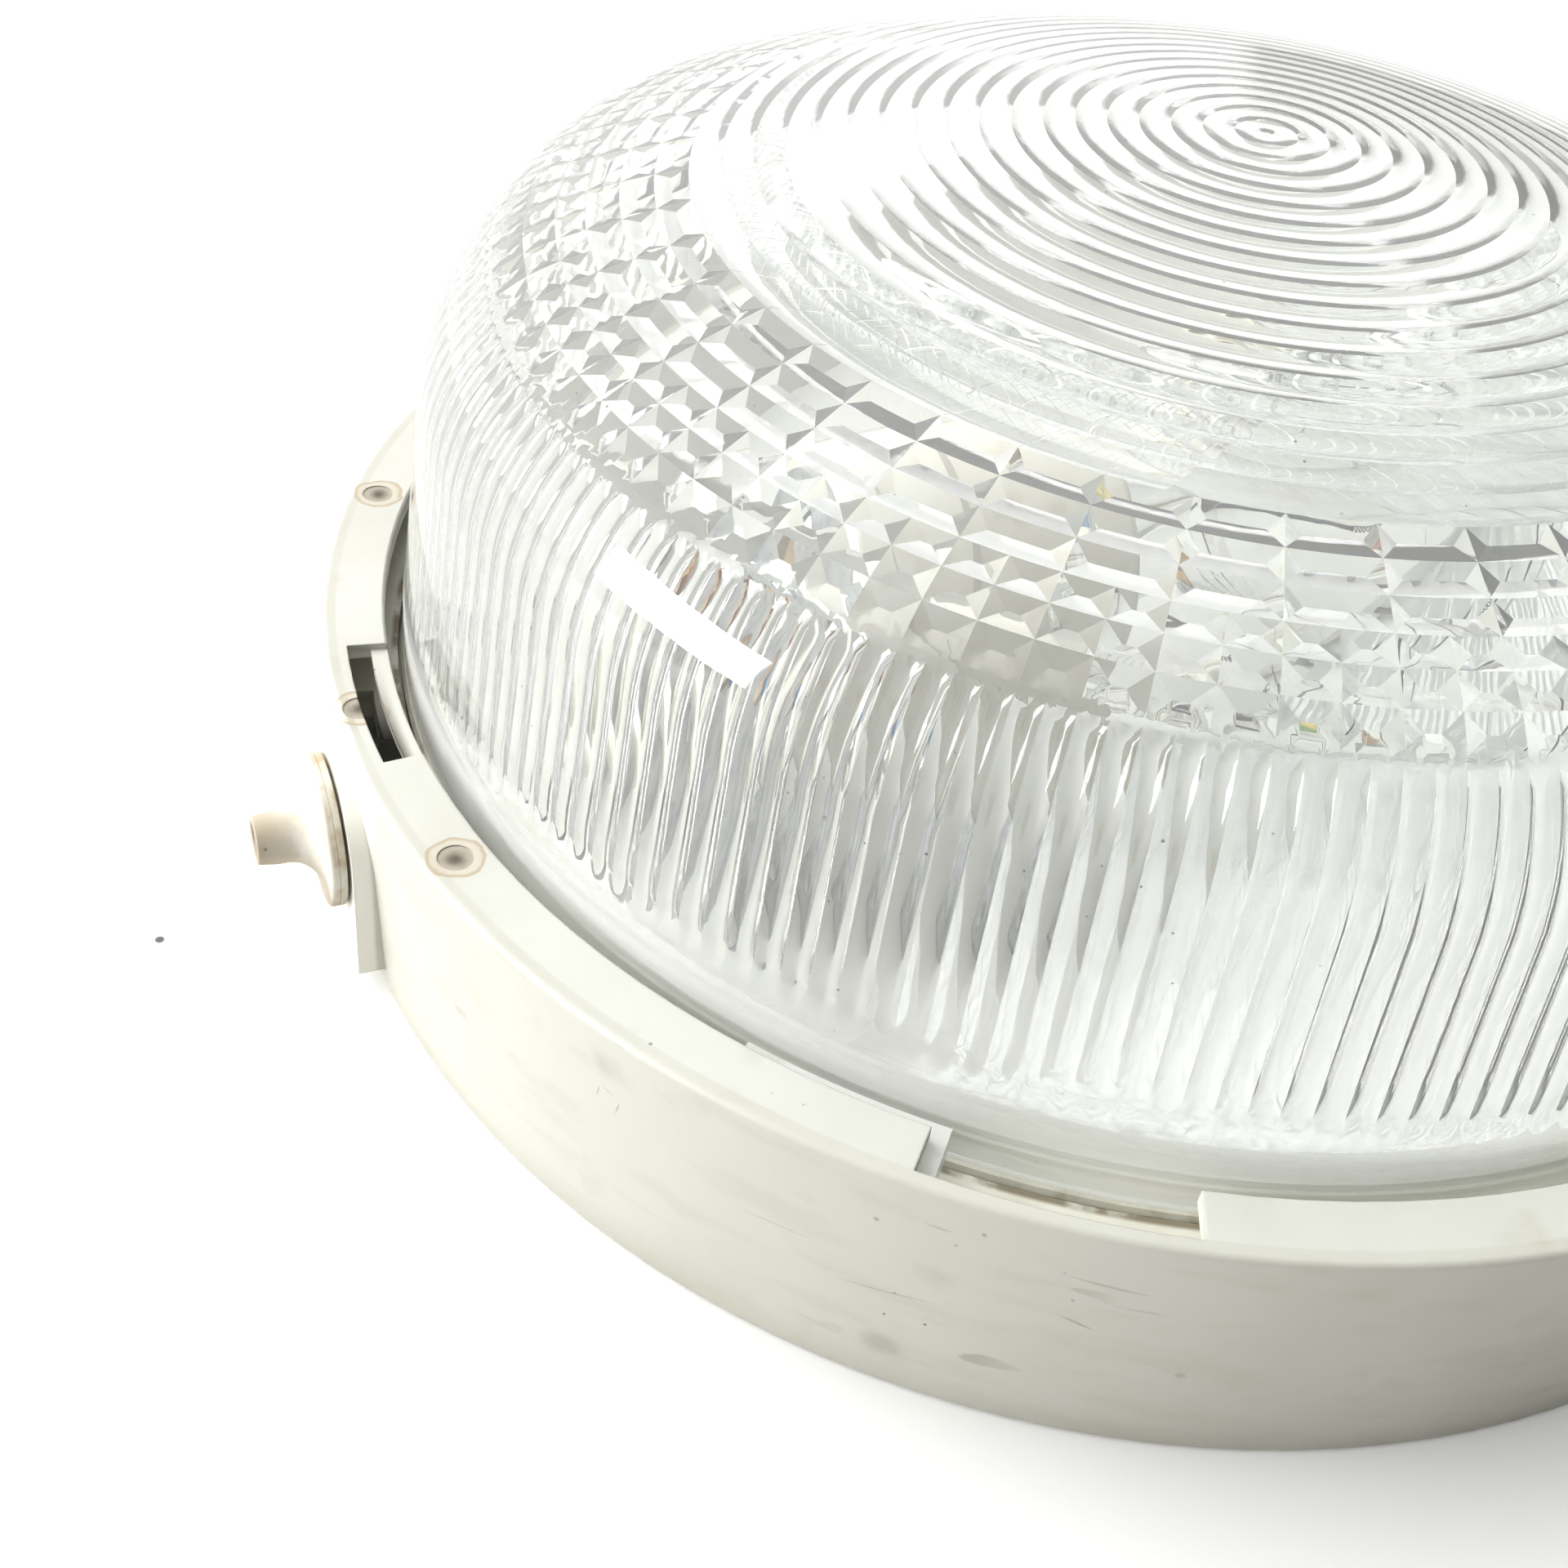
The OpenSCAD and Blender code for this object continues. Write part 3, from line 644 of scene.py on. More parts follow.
@dataclass
class Maker:
    """What every sub-assembly needs to add a piece: the finishes and a log of what was made."""

    finishes: Finishes
    sharp: float = math.radians(19.0)

    def piece(
        self, name: str, bm: Mesh, slot: str, body: Body, stands_for: Sequence[str] = ()
    ) -> bpy.types.Object:
        """Turn a finished bmesh into a piece of the light.

        Args:
            name: The piece's name.
            bm: The shape, in the object's own frame, which is used up.
            slot: The record's material slot.
            body: The body that it rides on.
            stands_for: CAD nodes that it replaces.

        Returns:
            The new object.
        """
        mesh = bpy.data.meshes.new(name)
        bm.to_mesh(mesh)
        bm.free()
        mesh.shade_smooth()
        mesh.set_sharp_from_angle(angle=self.sharp)
        mesh.materials.append(self.finishes.of(slot))
        made = bpy.data.objects.new(name, mesh)
        bpy.context.scene.collection.objects.link(made)
        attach(made, body.value)
        if stands_for:
            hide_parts(*stands_for)
        log.info("made %s on %s: %d faces", name, body.value, len(mesh.polygons))
        return made

    def dress(self, *nodes: str) -> None:
        """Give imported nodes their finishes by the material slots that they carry."""
        slots = {row["node"]: row["material_slot"] for row in frame["record"]["subparts"]}
        for node in nodes:
            target = frame["nodes"][node]
            for place in target.material_slots:
                place.material = self.finishes.of(slots[node])
            log.info("dressed %s as %s", node, slots[node])


def spin_outline(bm: Mesh, outline: Outline, steps: int, start: float = 0.0) -> list[bmesh.types.BMVert]:
    """Spin an outline of radius and height right round the Z axis.

    Args:
        bm: The mesh to add to.
        outline: Radius and height of each point.
        steps: Steps in the full turn.
        start: Angle of the first step, in radians.

    Returns:
        The vertices made.
    """
    kept = set(bm.verts)
    line = [bm.verts.new((r * math.cos(start), r * math.sin(start), z)) for r, z in outline]
    edges = [bm.edges.new(pair) for pair in pairwise(line)]
    bmesh.ops.spin(
        bm, geom=line + edges, cent=(0, 0, 0), axis=(0, 0, 1), dvec=(0, 0, 0),
        angle=math.tau, steps=steps, use_merge=True,
    )
    fresh = [v for v in bm.verts if v not in kept]
    bmesh.ops.remove_doubles(bm, verts=fresh, dist=SAME)
    return [v for v in bm.verts if v not in kept]


def turned(outline: Outline, steps: int = 64) -> Mesh:
    """Make a solid of revolution whose faces point outwards.

    Args:
        outline: A closed outline, or one with both ends on the axis.
        steps: Steps in the full turn.

    Returns:
        The solid, round the Z axis.
    """
    bm = bmesh.new()
    spin_outline(bm, outline, steps)
    bmesh.ops.recalc_face_normals(bm, faces=bm.faces)
    return bm


def ring_edges(bm: Mesh, radius: float, height: float) -> list[bmesh.types.BMEdge]:
    """Return the open edges of a ring at a radius and height."""

    def on_ring(v: bmesh.types.BMVert) -> bool:
        return abs(math.hypot(v.co.x, v.co.y) - radius) < SAME and abs(v.co.z - height) < SAME

    return [e for e in bm.edges if e.is_boundary and on_ring(e.verts[0]) and on_ring(e.verts[1])]


def arc(centre: tuple[float, float], radius: float, start: float, end: float, count: int) -> Outline:
    """Return points along an arc, both ends included."""
    return [
        (centre[0] + radius * math.cos(a), centre[1] + radius * math.sin(a))
        for a in (start + (end - start) * i / count for i in range(count + 1))
    ]


def smooth_path(points: Sequence[tuple[float, float, float]], parts: int) -> list[Vector]:
    """Return a smooth route through points, with parts steps in each stretch."""
    knots = [Vector(p) * MM for p in points]
    route = []
    for i in range(len(knots) - 1):
        a, b, c, d = knots[max(i - 1, 0)], knots[i], knots[i + 1], knots[min(i + 2, len(knots) - 1)]
        for k in range(parts):
            t = k / parts
            bend, twist = 2 * a - 5 * b + 4 * c - d, 3 * b - a - 3 * c + d
            route.append(0.5 * (2 * b + (c - a) * t + bend * t**2 + twist * t**3))
    return [*route, knots[-1]]


def rod(bm: Mesh, route: Sequence[Vector], radius: float, sides: int = 12) -> None:
    """Add a round rod along a route, closed at both ends.

    Args:
        bm: The mesh to add to.
        route: Points along the middle of the rod.
        radius: The rod's radius.
        sides: Sides of its section.
    """
    lead = (route[1] - route[0]).normalized()
    start = Matrix.Translation(route[0]) @ lead.to_track_quat("Z", "Y").to_matrix().to_4x4()
    made = bmesh.ops.create_circle(bm, cap_ends=True, segments=sides, radius=radius, matrix=start)
    face = made["verts"][0].link_faces[0]
    old = lead
    for i, spot in enumerate(route[1:], 1):
        ahead = (route[min(i + 1, len(route) - 1)] - route[i - 1]).normalized()
        grown = bmesh.ops.extrude_discrete_faces(bm, faces=[face])
        face = grown["faces"][0]
        turn = old.rotation_difference(ahead).to_matrix()
        bmesh.ops.translate(bm, verts=face.verts, vec=spot - route[i - 1])
        bmesh.ops.rotate(bm, verts=face.verts, cent=spot, matrix=turn)
        old = ahead


def along_x(at: tuple[float, float, float]) -> Matrix:
    """Return the placing of a piece turned round Z so that its axis runs along +X from a point."""
    return Matrix.Translation(Vector(at)) @ Matrix.Rotation(math.radians(90), 4, "Y")


# ---------------------------------------------------------------- glass


@dataclass
class PrismaticGlass:
    """The pressed bowl: smooth outside, with rings, prisms and flutes inside, and three lugs."""

    maker: Maker
    base_top: float = 37.5 * MM
    foot: float = 30.0 * MM
    radius: float = 107.5 * MM
    lean: float = math.radians(5.05)
    shoulder_at: float = 31.7 * MM
    shoulder: float = 26.7 * MM
    crown: float = 70.9 * MM
    wall: float = 3.3 * MM
    line_at: float = math.radians(1.58)
    rings: int = 18
    rings_r: float = 70.6 * MM
    coarse_r: float = 83.2 * MM
    fine_r: float = 94.0 * MM
    rows: int = 3
    bars: int = 48
    outer_steps: int = 192
    lug_from: float = math.radians(216.34)
    lug_steps: int = 7
    lug_low: float = 30.0 * MM
    lug_high: float = 35.05 * MM
    lug_r: float = 115.0 * MM
    hip_steps: int = 3
    ring_relief: float = 0.24 * MM
    bar_relief: float = 0.62 * MM
    stud_relief: float = 0.55 * MM
    flute_relief: float = 0.48 * MM
    tip_low: float = 1.2 * MM
    tip_reach: float = 6.5 * MM
    shoulder_c: tuple[float, float] = field(init=False)
    crown_r: float = field(init=False)
    crown_z: float = field(init=False)
    crown_a: float = field(init=False)

    def __post_init__(self) -> None:
        """Work out the shoulder's centre and the crown's sphere, which meet smoothly."""
        cx = self.radius - self.shoulder_at * math.tan(self.lean) - self.shoulder * math.cos(self.lean)
        cz = self.base_top + self.shoulder_at - self.shoulder * math.sin(self.lean)
        over = self.base_top + self.crown - cz
        self.shoulder_c = (cx, cz)
        self.crown_r = (cx**2 + over**2 - self.shoulder**2) / (2 * (over - self.shoulder))
        self.crown_z = self.base_top + self.crown - self.crown_r
        self.crown_a = math.atan2(cz - self.crown_z, cx)

    @property
    def flutes(self) -> int:
        """Flutes in the full turn."""
        return self.bars * 4

    @property
    def inner_steps(self) -> int:
        """Steps of the patterned inside, four to a flute."""
        return self.flutes * 4

    def crown_point(self, r: float, inset: float) -> tuple[float, float]:
        """Return the crown's point at a radius, set in by a thickness."""
        sphere = self.crown_r - inset
        return r, self.crown_z + math.sqrt(sphere**2 - r**2)

    def crown_edge(self, inset: float) -> float:
        """Return the radius at which the crown meets the shoulder."""
        return (self.crown_r - inset) * math.cos(self.crown_a)

    def outside(self) -> Outline:
        """Return the smooth outer outline from the foot to the middle of the crown."""
        edge = 0.8 * MM
        line = [(self.radius - edge, self.foot), (self.radius - 0.25 * edge, self.foot + 0.25 * edge)]
        line += [(self.radius, z) for z in (self.foot + edge, self.lug_high, self.base_top)]
        line += [(self.radius - h * math.tan(self.lean), self.base_top + h) for h in (8 * MM, 16 * MM, 24 * MM)]
        line += arc(self.shoulder_c, self.shoulder, self.lean, self.crown_a, 18)
        top = self.crown_edge(0.0)
        line += [self.crown_point(top * (1 - i / 22), 0.0) for i in range(1, 23)]
        return line

    def ringed(self) -> Outline:
        """Return the inner outline of the ringed crown, six points to a ring."""
        count = self.rings * 6
        return [self.crown_point(self.rings_r * i / count, self.wall) for i in range(count + 1)]

    def prismed(self) -> Outline:
        """Return the inner outline from the crown's edge to the foot: bars, studs, flutes and plain rim."""
        count = self.rows * 6
        inner = [self.rings_r + (self.coarse_r - self.rings_r) * i / count for i in range(count + 1)]
        line = [self.crown_point(r, self.wall) for r in inner]
        join = self.crown_edge(self.wall)
        reach = [self.coarse_r + (self.fine_r - self.coarse_r) * i / count for i in range(1, count + 1)]
        line += [self.side_point(r) if r > join else self.crown_point(r, self.wall) for r in reach]
        first = math.acos((self.fine_r - self.shoulder_c[0]) / (self.shoulder - self.wall))
        line += arc(self.shoulder_c, self.shoulder - self.wall, first, self.lean, 20)[1:]
        foot_r = self.radius - self.wall
        heights = [self.shoulder_at * (1 - s) for s in (0.25, 0.5, 0.69)]
        heights += [self.tip_low + self.tip_reach * (1 - i / 9) for i in range(10)] + [self.tip_low * 0.5]
        line += [(foot_r - h * math.tan(self.lean), self.base_top + h) for h in heights if h > -0.5 * MM]
        line += [(foot_r, self.foot + 0.8 * MM), (foot_r + 0.4 * MM, self.foot)]
        return line

    def side_point(self, r: float) -> tuple[float, float]:
        """Return the point of the inner shoulder at a radius."""
        reach = self.shoulder - self.wall
        return r, self.shoulder_c[1] + math.sqrt(reach**2 - (r - self.shoulder_c[0]) ** 2)

    def inward(self, r: float, z: float) -> tuple[float, float]:
        """Return the direction, out and up, from the inner face into the air inside."""
        if r <= self.crown_edge(self.wall) + 1e-7 and z > self.shoulder_c[1]:
            way = Vector((-r, self.crown_z - z))
        elif z > self.shoulder_c[1] + (self.shoulder - self.wall) * math.sin(self.lean):
            way = Vector((self.shoulder_c[0] - r, self.shoulder_c[1] - z))
        else:
            way = Vector((-math.cos(self.lean), -math.sin(self.lean)))
        way.normalize()
        return way.x, way.y

    def roof(self, inward: float, along: float, wide: int) -> float:
        """Return the height of a hipped roof, whose hips run corner to corner over the mesh's faces.

        Args:
            inward: Place across the rows, in rows.
            along: Angle from the first radial line, in bar widths.
            wide: Bars in the full turn.

        Returns:
            Zero at the bar's edges and one along its ridge.
        """
        side = 1 - abs(2 * (inward % 1.0) - 1)
        end = min(along % 1.0, 1 - along % 1.0) * self.inner_steps / wide / self.hip_steps
        return min(side, end)

    def relief(self, r: float, z: float, angle: float) -> float:
        """Return how far the pattern stands in from the inner face.

        Args:
            r: Radius of the point.
            z: Height of the point.
            angle: Angle of the point round the axis.

        Returns:
            The height of the pattern.
        """
        turn = (angle - self.line_at) / math.tau
        on_crown = z > self.shoulder_c[1] + 4 * MM
        if on_crown and r <= self.coarse_r + 1e-7:
            inward = (r - self.rings_r) / (self.coarse_r - self.rings_r) * self.rows
            return self.bar_relief * self.roof(inward, turn * self.bars, self.bars)
        if on_crown and r <= self.fine_r + 1e-7:
            inward = (r - self.coarse_r) / (self.fine_r - self.coarse_r) * self.rows
            return self.stud_relief * self.roof(inward, turn * self.bars * 2, self.bars * 2)
        across = abs((turn * self.flutes) % 1.0 - 0.5)
        room = 1.0
        if on_crown:
            room = min(1.0, (r - self.fine_r) / (1.4 * MM))
        elif z < self.base_top + self.tip_low + self.tip_reach:
            room = max(0.0, (z - self.base_top - self.tip_low) / self.tip_reach)
        return self.flute_relief * max(0.0, room**2 - 4 * across**2)

    def ring_height(self, r: float) -> float:
        """Return the height of the rounded ring at a radius."""
        across = abs(2 * (r / self.rings_r * self.rings % 1.0) - 1)
        return self.ring_relief * (1 - across**2)

    def build(self) -> bpy.types.Object:
        """Build the glass in the place of its CAD node.

        Returns:
            The new piece.
        """
        bm = bmesh.new()
        outside, ringed, prismed = self.outside(), self.ringed(), self.prismed()
        spin_outline(bm, outside, self.outer_steps, self.lug_from)
        rings = spin_outline(bm, ringed, self.outer_steps, self.line_at)
        prisms = spin_outline(bm, prismed, self.inner_steps, self.line_at)
        for low, high in ((outside[0], prismed[-1]), (ringed[-1], prismed[0])):
            both = ring_edges(bm, *low) + ring_edges(bm, *high)
            if low == ringed[-1]:
                both = list(set(both))
            bmesh.ops.bridge_loops(bm, edges=both)
        self.emboss(rings, self.lift_ring)
        self.emboss(prisms, self.lift_prism)
        crown = [v for v in prisms if v.co.z > self.shoulder_c[1] + 4 * MM]
        facets = {f for v in crown for f in v.link_faces if len(f.verts) == 4}
        bmesh.ops.triangulate(bm, faces=list(facets), quad_method="LONG_EDGE")
        bmesh.ops.recalc_face_normals(bm, faces=bm.faces)
        self.add_lugs(bm)
        return self.maker.piece("prismatic_glass", bm, "clear_glass", Body.GLASS, ["lens"])

    def lift_ring(self, r: float, z: float, angle: float) -> float:
        """Return the relief on the ringed crown."""
        return self.ring_height(r)

    def lift_prism(self, r: float, z: float, angle: float) -> float:
        """Return the relief outside the ringed crown."""
        return self.relief(r, z, angle)

    def emboss(self, verts: Sequence[bmesh.types.BMVert], lift: Callable[[float, float, float], float]) -> None:
        """Move points of the inner face into the air by the height of the pattern."""
        for v in verts:
            r = math.hypot(v.co.x, v.co.y)
            high = lift(r, v.co.z, math.atan2(v.co.y, v.co.x))
            if high <= 0 or r < 1e-7:
                v.co.z -= high
                continue
            out, up = self.inward(r, v.co.z)
            grown = (r + out * high) / r
            v.co = Vector((v.co.x * grown, v.co.y * grown, v.co.z + up * high))

    def add_lugs(self, bm: Mesh) -> None:
        """Draw the three bayonet lugs out of the outer wall."""
        step = math.tau / self.outer_steps
        chosen = []
        for face in bm.faces:
            middle = face.calc_center_median()
            inside = math.hypot(middle.x, middle.y) < self.radius - 1.0 * MM
            if inside or not self.foot + 0.5 * MM < middle.z < self.lug_high:
                continue
            turn = (math.atan2(middle.y, middle.x) - self.lug_from) % (math.tau / 3)
            if turn < self.lug_steps * step:
                chosen.append(face)
        grown = bmesh.ops.extrude_face_region(bm, geom=chosen)
        verts = [g for g in grown["geom"] if isinstance(g, bmesh.types.BMVert)]
        bmesh.ops.delete(bm, geom=chosen, context="FACES_ONLY")
        out = self.lug_r / self.radius
        bmesh.ops.scale(bm, vec=(out, out, 1.0), verts=verts)
        edges = [e for v in verts for e in v.link_edges if e.other_vert(v) in verts]
        rims = {e for e in edges if e.calc_face_angle(0.0) > math.radians(40)}
        bmesh.ops.bevel(bm, geom=list(rims), offset=0.5 * MM, segments=3, profile=0.5, affect="EDGES", material=-1)


# ---------------------------------------------------------------- housing


@dataclass
class Housing:
    """The moulded base with its gasket, cable entry and fixing washers."""

    maker: Maker
    axis_z: float = 19.9 * MM
    face_x: float = -119.9 * MM
    disc_r: float = 10.35 * MM
    disc_t: float = 2.1 * MM
    gap: float = 0.4 * MM
    nipple: float = 8.1 * MM
    tip_r: float = 3.3 * MM
    root_r: float = 4.5 * MM
    bore_r: float = 2.3 * MM
    fillet: float = 4.2 * MM
    neck_r: float = 7.95 * MM
    cup_r: float = 6.3 * MM
    wall_t: float = 2.6 * MM

    def build(self) -> None:
        """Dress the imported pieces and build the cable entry's grommet."""
        self.maker.dress("base", "lens_gasket", "fixing_washers")
        self.build_grommet()

    def build_grommet(self) -> bpy.types.Object:
        """Build the push-in grommet with its soft edges, moulding line and worn tip."""
        end = self.nipple + self.disc_t
        inner = end + self.gap + self.wall_t + 0.1 * MM
        line = [(self.bore_r, 0.5 * MM), (self.bore_r + 0.2 * MM, 0.12 * MM)]
        line += arc((self.tip_r - 0.35 * MM, 0.35 * MM), 0.35 * MM, -math.pi / 2, 0, 4)
        line += [(self.tip_r + 0.1 * MM, 1.2 * MM), (self.tip_r + 0.28 * MM, 2.4 * MM)]
        thin = 0.9 * MM
        for i in range(13):
            a = math.radians(90 * i / 12)
            out = self.root_r - thin + (self.fillet + thin) * (1 - math.cos(a))
            line.append((out, self.nipple - self.fillet + self.fillet * math.sin(a)))
        line += arc((self.disc_r - 0.5 * MM, self.nipple + 0.5 * MM), 0.5 * MM, -math.pi / 2, 0, 5)
        seam = self.nipple + 1.1 * MM
        line += [(self.disc_r, seam - 0.1 * MM), (self.disc_r - 0.12 * MM, seam), (self.disc_r, seam + 0.1 * MM)]
        line += arc((self.disc_r - 0.35 * MM, end - 0.35 * MM), 0.35 * MM, 0, math.pi / 2, 4)
        line += [(self.neck_r + 0.3 * MM, end), (self.neck_r, end + 0.3 * MM), (self.neck_r, inner - 0.3 * MM)]
        line += [(self.neck_r + 0.3 * MM, inner), (self.neck_r + 1.5 * MM, inner + 0.2 * MM)]
        line += [(self.neck_r + 1.0 * MM, inner + 1.9 * MM), (self.cup_r, inner + 2.0 * MM)]
        line += [(self.cup_r, self.nipple + 1.5 * MM), (self.bore_r, self.nipple + 0.5 * MM), (self.bore_r, 0.5 * MM)]
        bm = turned(line, 72)
        bmesh.ops.transform(bm, matrix=along_x((self.face_x - self.gap - end, 0.0, self.axis_z)), verts=bm.verts)
        return self.maker.piece("entry_grommet", bm, "beige_rubber", Body.HOUSING, ["cable_grommet"])


# ---------------------------------------------------------------- reflector, holder and wiring


@dataclass
class Thread:
    """A round lamp thread pressed into thin metal."""

    pitch: float = 3.629 * MM
    depth: float = 0.38 * MM

    def press(self, bm: Mesh, low: float, high: float) -> None:
        """Press the thread into a tube round Z.

        Args:
            bm: The tube.
            low: Height at which the thread starts.
            high: Height at which it ends.
        """
        for v in bm.verts:
            if not low <= v.co.z <= high:
                continue
            r = math.hypot(v.co.x, v.co.y)
            turn = math.atan2(v.co.y, v.co.x) / math.tau
            ease = min(1.0, (v.co.z - low) / (1.2 * MM), (high - v.co.z) / (1.2 * MM))
            wave = math.cos(math.tau * (v.co.z / self.pitch - turn)) * self.depth * ease
            v.co.x *= (r + wave) / r
            v.co.y *= (r + wave) / r


@dataclass
class Holder:
    """The porcelain holder on its bracket, with its threaded shell."""

    maker: Maker
    thread: Thread
    back: float = -62.0 * MM
    axis_y: float = -12.0 * MM
    axis_z: float = 46.0 * MM
    shell_r: float = 14.05 * MM
    shell_t: float = 0.4 * MM
    shell_from: float = 13.85 * MM
    shell_to: float = 36.25 * MM

    def build(self) -> None:
        """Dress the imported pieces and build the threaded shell."""
        self.maker.dress(
            "holder_bracket", "bracket_rivets", "lamp_holder", "holder_contact", "holder_terminals", "holder_screws"
        )
        rows, tall = 46, self.shell_to - self.shell_from
        outer = [(self.shell_r, self.shell_from + tall * i / rows) for i in range(rows + 1)]
        inner = [(r - self.shell_t, z) for r, z in reversed(outer)]
        bm = turned([*outer, *inner, outer[0]], 64)
        self.thread.press(bm, self.shell_from + 1 * MM, self.shell_to - 1 * MM)
        bmesh.ops.transform(bm, matrix=along_x((self.back, self.axis_y, self.axis_z)), verts=bm.verts)
        self.maker.piece("threaded_shell", bm, "nickel_plate", Body.HOUSING, ["holder_shell"])


@dataclass
class Lead:
    """One insulated lead: its name, sheath and route in millimetres."""

    name: str
    slot: str
    route: list[tuple[float, float, float]]


@dataclass
class Wiring:
    """The reflector tray with the terminal block, the earth stud and the three leads."""

    maker: Maker
    radius: float = 1.15 * MM
    sleeve: float = 1.8 * MM
    block: tuple[float, float] = (46.0, 50.0)
    tray_top: float = 10.8
    lamp: tuple[float, float] = (-12.0, 46.0)
    holder_back: float = -62.0

    def leads(self) -> list[Lead]:
        """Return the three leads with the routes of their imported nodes."""
        bx, by = self.block
        in_y, sleeve, low = by - 8.9, self.tray_top + 5.2, self.tray_top + 2.0
        end, lamp_y, lamp_z = self.holder_back - 2.4, *self.lamp
        return [
            Lead("live_lead", "brown_sheath", [
                (bx - 8, in_y + 1.5, sleeve), (bx - 8.6, in_y - 6, sleeve - 1.2), (24, 24, low), (0, 24, low),
                (-34, 20, low), (-58, 14, low + 1), (-70, 4, low + 10), (-70.5, -2, lamp_z - 10),
                (end - 2.5, lamp_y + 8, lamp_z - 2), (end + 1.6, lamp_y + 8, lamp_z),
            ]),
            Lead("neutral_lead", "blue_sheath", [
                (bx, in_y + 1.5, sleeve), (bx - 1, in_y - 9, sleeve - 1), (30, 19.5, low), (2, 20, low),
                (-34, 16, low), (-57, 11, low + 0.6), (-72, -2, low + 7), (-75, -14, lamp_z - 12),
                (end - 3.5, lamp_y - 7, lamp_z - 3), (end + 1.6, lamp_y - 8, lamp_z),
            ]),
            Lead("earth_lead", "green_sheath", [
                (bx + 8, in_y + 1.5, sleeve), (bx + 9, in_y - 5, sleeve - 1), (58, 29, low + 0.8),
                (61.5, 26, self.tray_top + 2.9),
            ]),
        ]

    def build(self) -> None:
        """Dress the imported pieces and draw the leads."""
        self.maker.dress("reflector", "reflector_screws", "earth_screw", "earth_washer")
        self.maker.dress("terminal_block", "terminal_sleeves", "terminal_screws", "terminal_block_screw")
        for lead in self.leads():
            bm = bmesh.new()
            rod(bm, smooth_path(lead.route, 6), self.radius)
            self.maker.piece(f"drawn_{lead.name}", bm, lead.slot, Body.HOUSING, [lead.name])
        for lead in self.leads()[:2]:
            route = smooth_path(lead.route, 6)
            bm = bmesh.new()
            rod(bm, route[8:-4], self.sleeve)
            self.maker.piece(f"{lead.name}_sleeve", bm, "white_nylon", Body.HOUSING)


# ---------------------------------------------------------------- lamp


@dataclass
class Lamp:
    """The clear filament lamp: bulb, stem, coiled filament on its supports and screw cap."""

    maker: Maker
    thread: Thread
    foot: tuple[float, float, float] = (-47.0 * MM, -12.0 * MM, 46.0 * MM)
    coil_r: float = 11.0 * MM
    coil_z: float = 70.0 * MM
    cap_r: float = 12.75 * MM
    cap_t: float = 0.35 * MM

    def build(self) -> None:
        """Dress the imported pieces, then build the cap and the filament."""
        self.maker.dress("lamp_bulb", "lamp_stem", "cap_insulator", "cap_contact")
        self.build_cap()
        self.build_filament()

    def build_cap(self) -> None:
        """Build the screw cap as one skin of pressed metal."""
        rows = 40
        outer = [(9.25 * MM, 2.65 * MM), (11.9 * MM, 3.7 * MM), (12.5 * MM, 4.5 * MM)]
        outer += [(self.cap_r, 5 * MM + 16.5 * MM * i / rows) for i in range(rows + 1)]
        outer += [(12.55 * MM, 22.5 * MM), (12.65 * MM, 23 * MM), (12.65 * MM, 25.4 * MM)]
        inner = [(max(r - self.cap_t, 9.25 * MM), z + (0.5 * MM if z < 5 * MM else 0.0)) for r, z in reversed(outer)]
        bm = turned([*outer, *inner, outer[0]], 64)
        self.thread.press(bm, 5 * MM, 21.5 * MM)
        bmesh.ops.transform(bm, matrix=along_x(self.foot), verts=bm.verts)
        self.maker.piece("threaded_cap", bm, "nickel_plate", Body.LAMP, ["lamp_cap"])

    def on_coil(self, turn: float, out: float = 0.0, up: float = 0.0) -> Vector:
        """Return a point of the filament's ring, moved out and up from its middle line."""
        r = self.coil_r + out
        return Vector((r * math.cos(turn), r * math.sin(turn), self.coil_z + up))

    def build_filament(self) -> None:
        """Wind the filament round its ring and stand it on its lead-in wires and supports."""
        bm = bmesh.new()
        first, last, winds, grain, wide = math.radians(30), math.radians(330), 64, 8, 0.36 * MM
        path = []
        for i in range(winds * grain + 1):
            wind = math.tau * i / grain
            turn = first + (last - first) * i / (winds * grain)
            path.append(self.on_coil(turn, wide * math.cos(wind), wide * math.sin(wind)))
        rod(bm, path, 0.09 * MM, 5)
        for degrees in (30, 330):
            a = math.radians(degrees)
            foot = [(2, 43), (3.4, 50)]
            rod(bm, smooth_to(foot, a, self.on_coil(a)), 0.33 * MM, 8)
        for degrees in (100, 180, 260):
            a = math.radians(degrees)
            rod(bm, smooth_to([(1.5, 64), (5, 66)], a, self.on_coil(a)), 0.2 * MM, 6)
        bmesh.ops.transform(bm, matrix=along_x(self.foot), verts=bm.verts)
        self.maker.piece("coiled_filament", bm, "tungsten", Body.LAMP, ["lamp_filament"])


def smooth_to(start: Sequence[tuple[float, float]], angle: float, end: Vector) -> list[Vector]:
    """Return a bent wire's route in one plane through the axis, ending at a point."""
    knots = [(r * math.cos(angle), r * math.sin(angle), z) for r, z in start]
    return smooth_path([*knots, tuple(end / MM)], 5)


# ---------------------------------------------------------------- studio


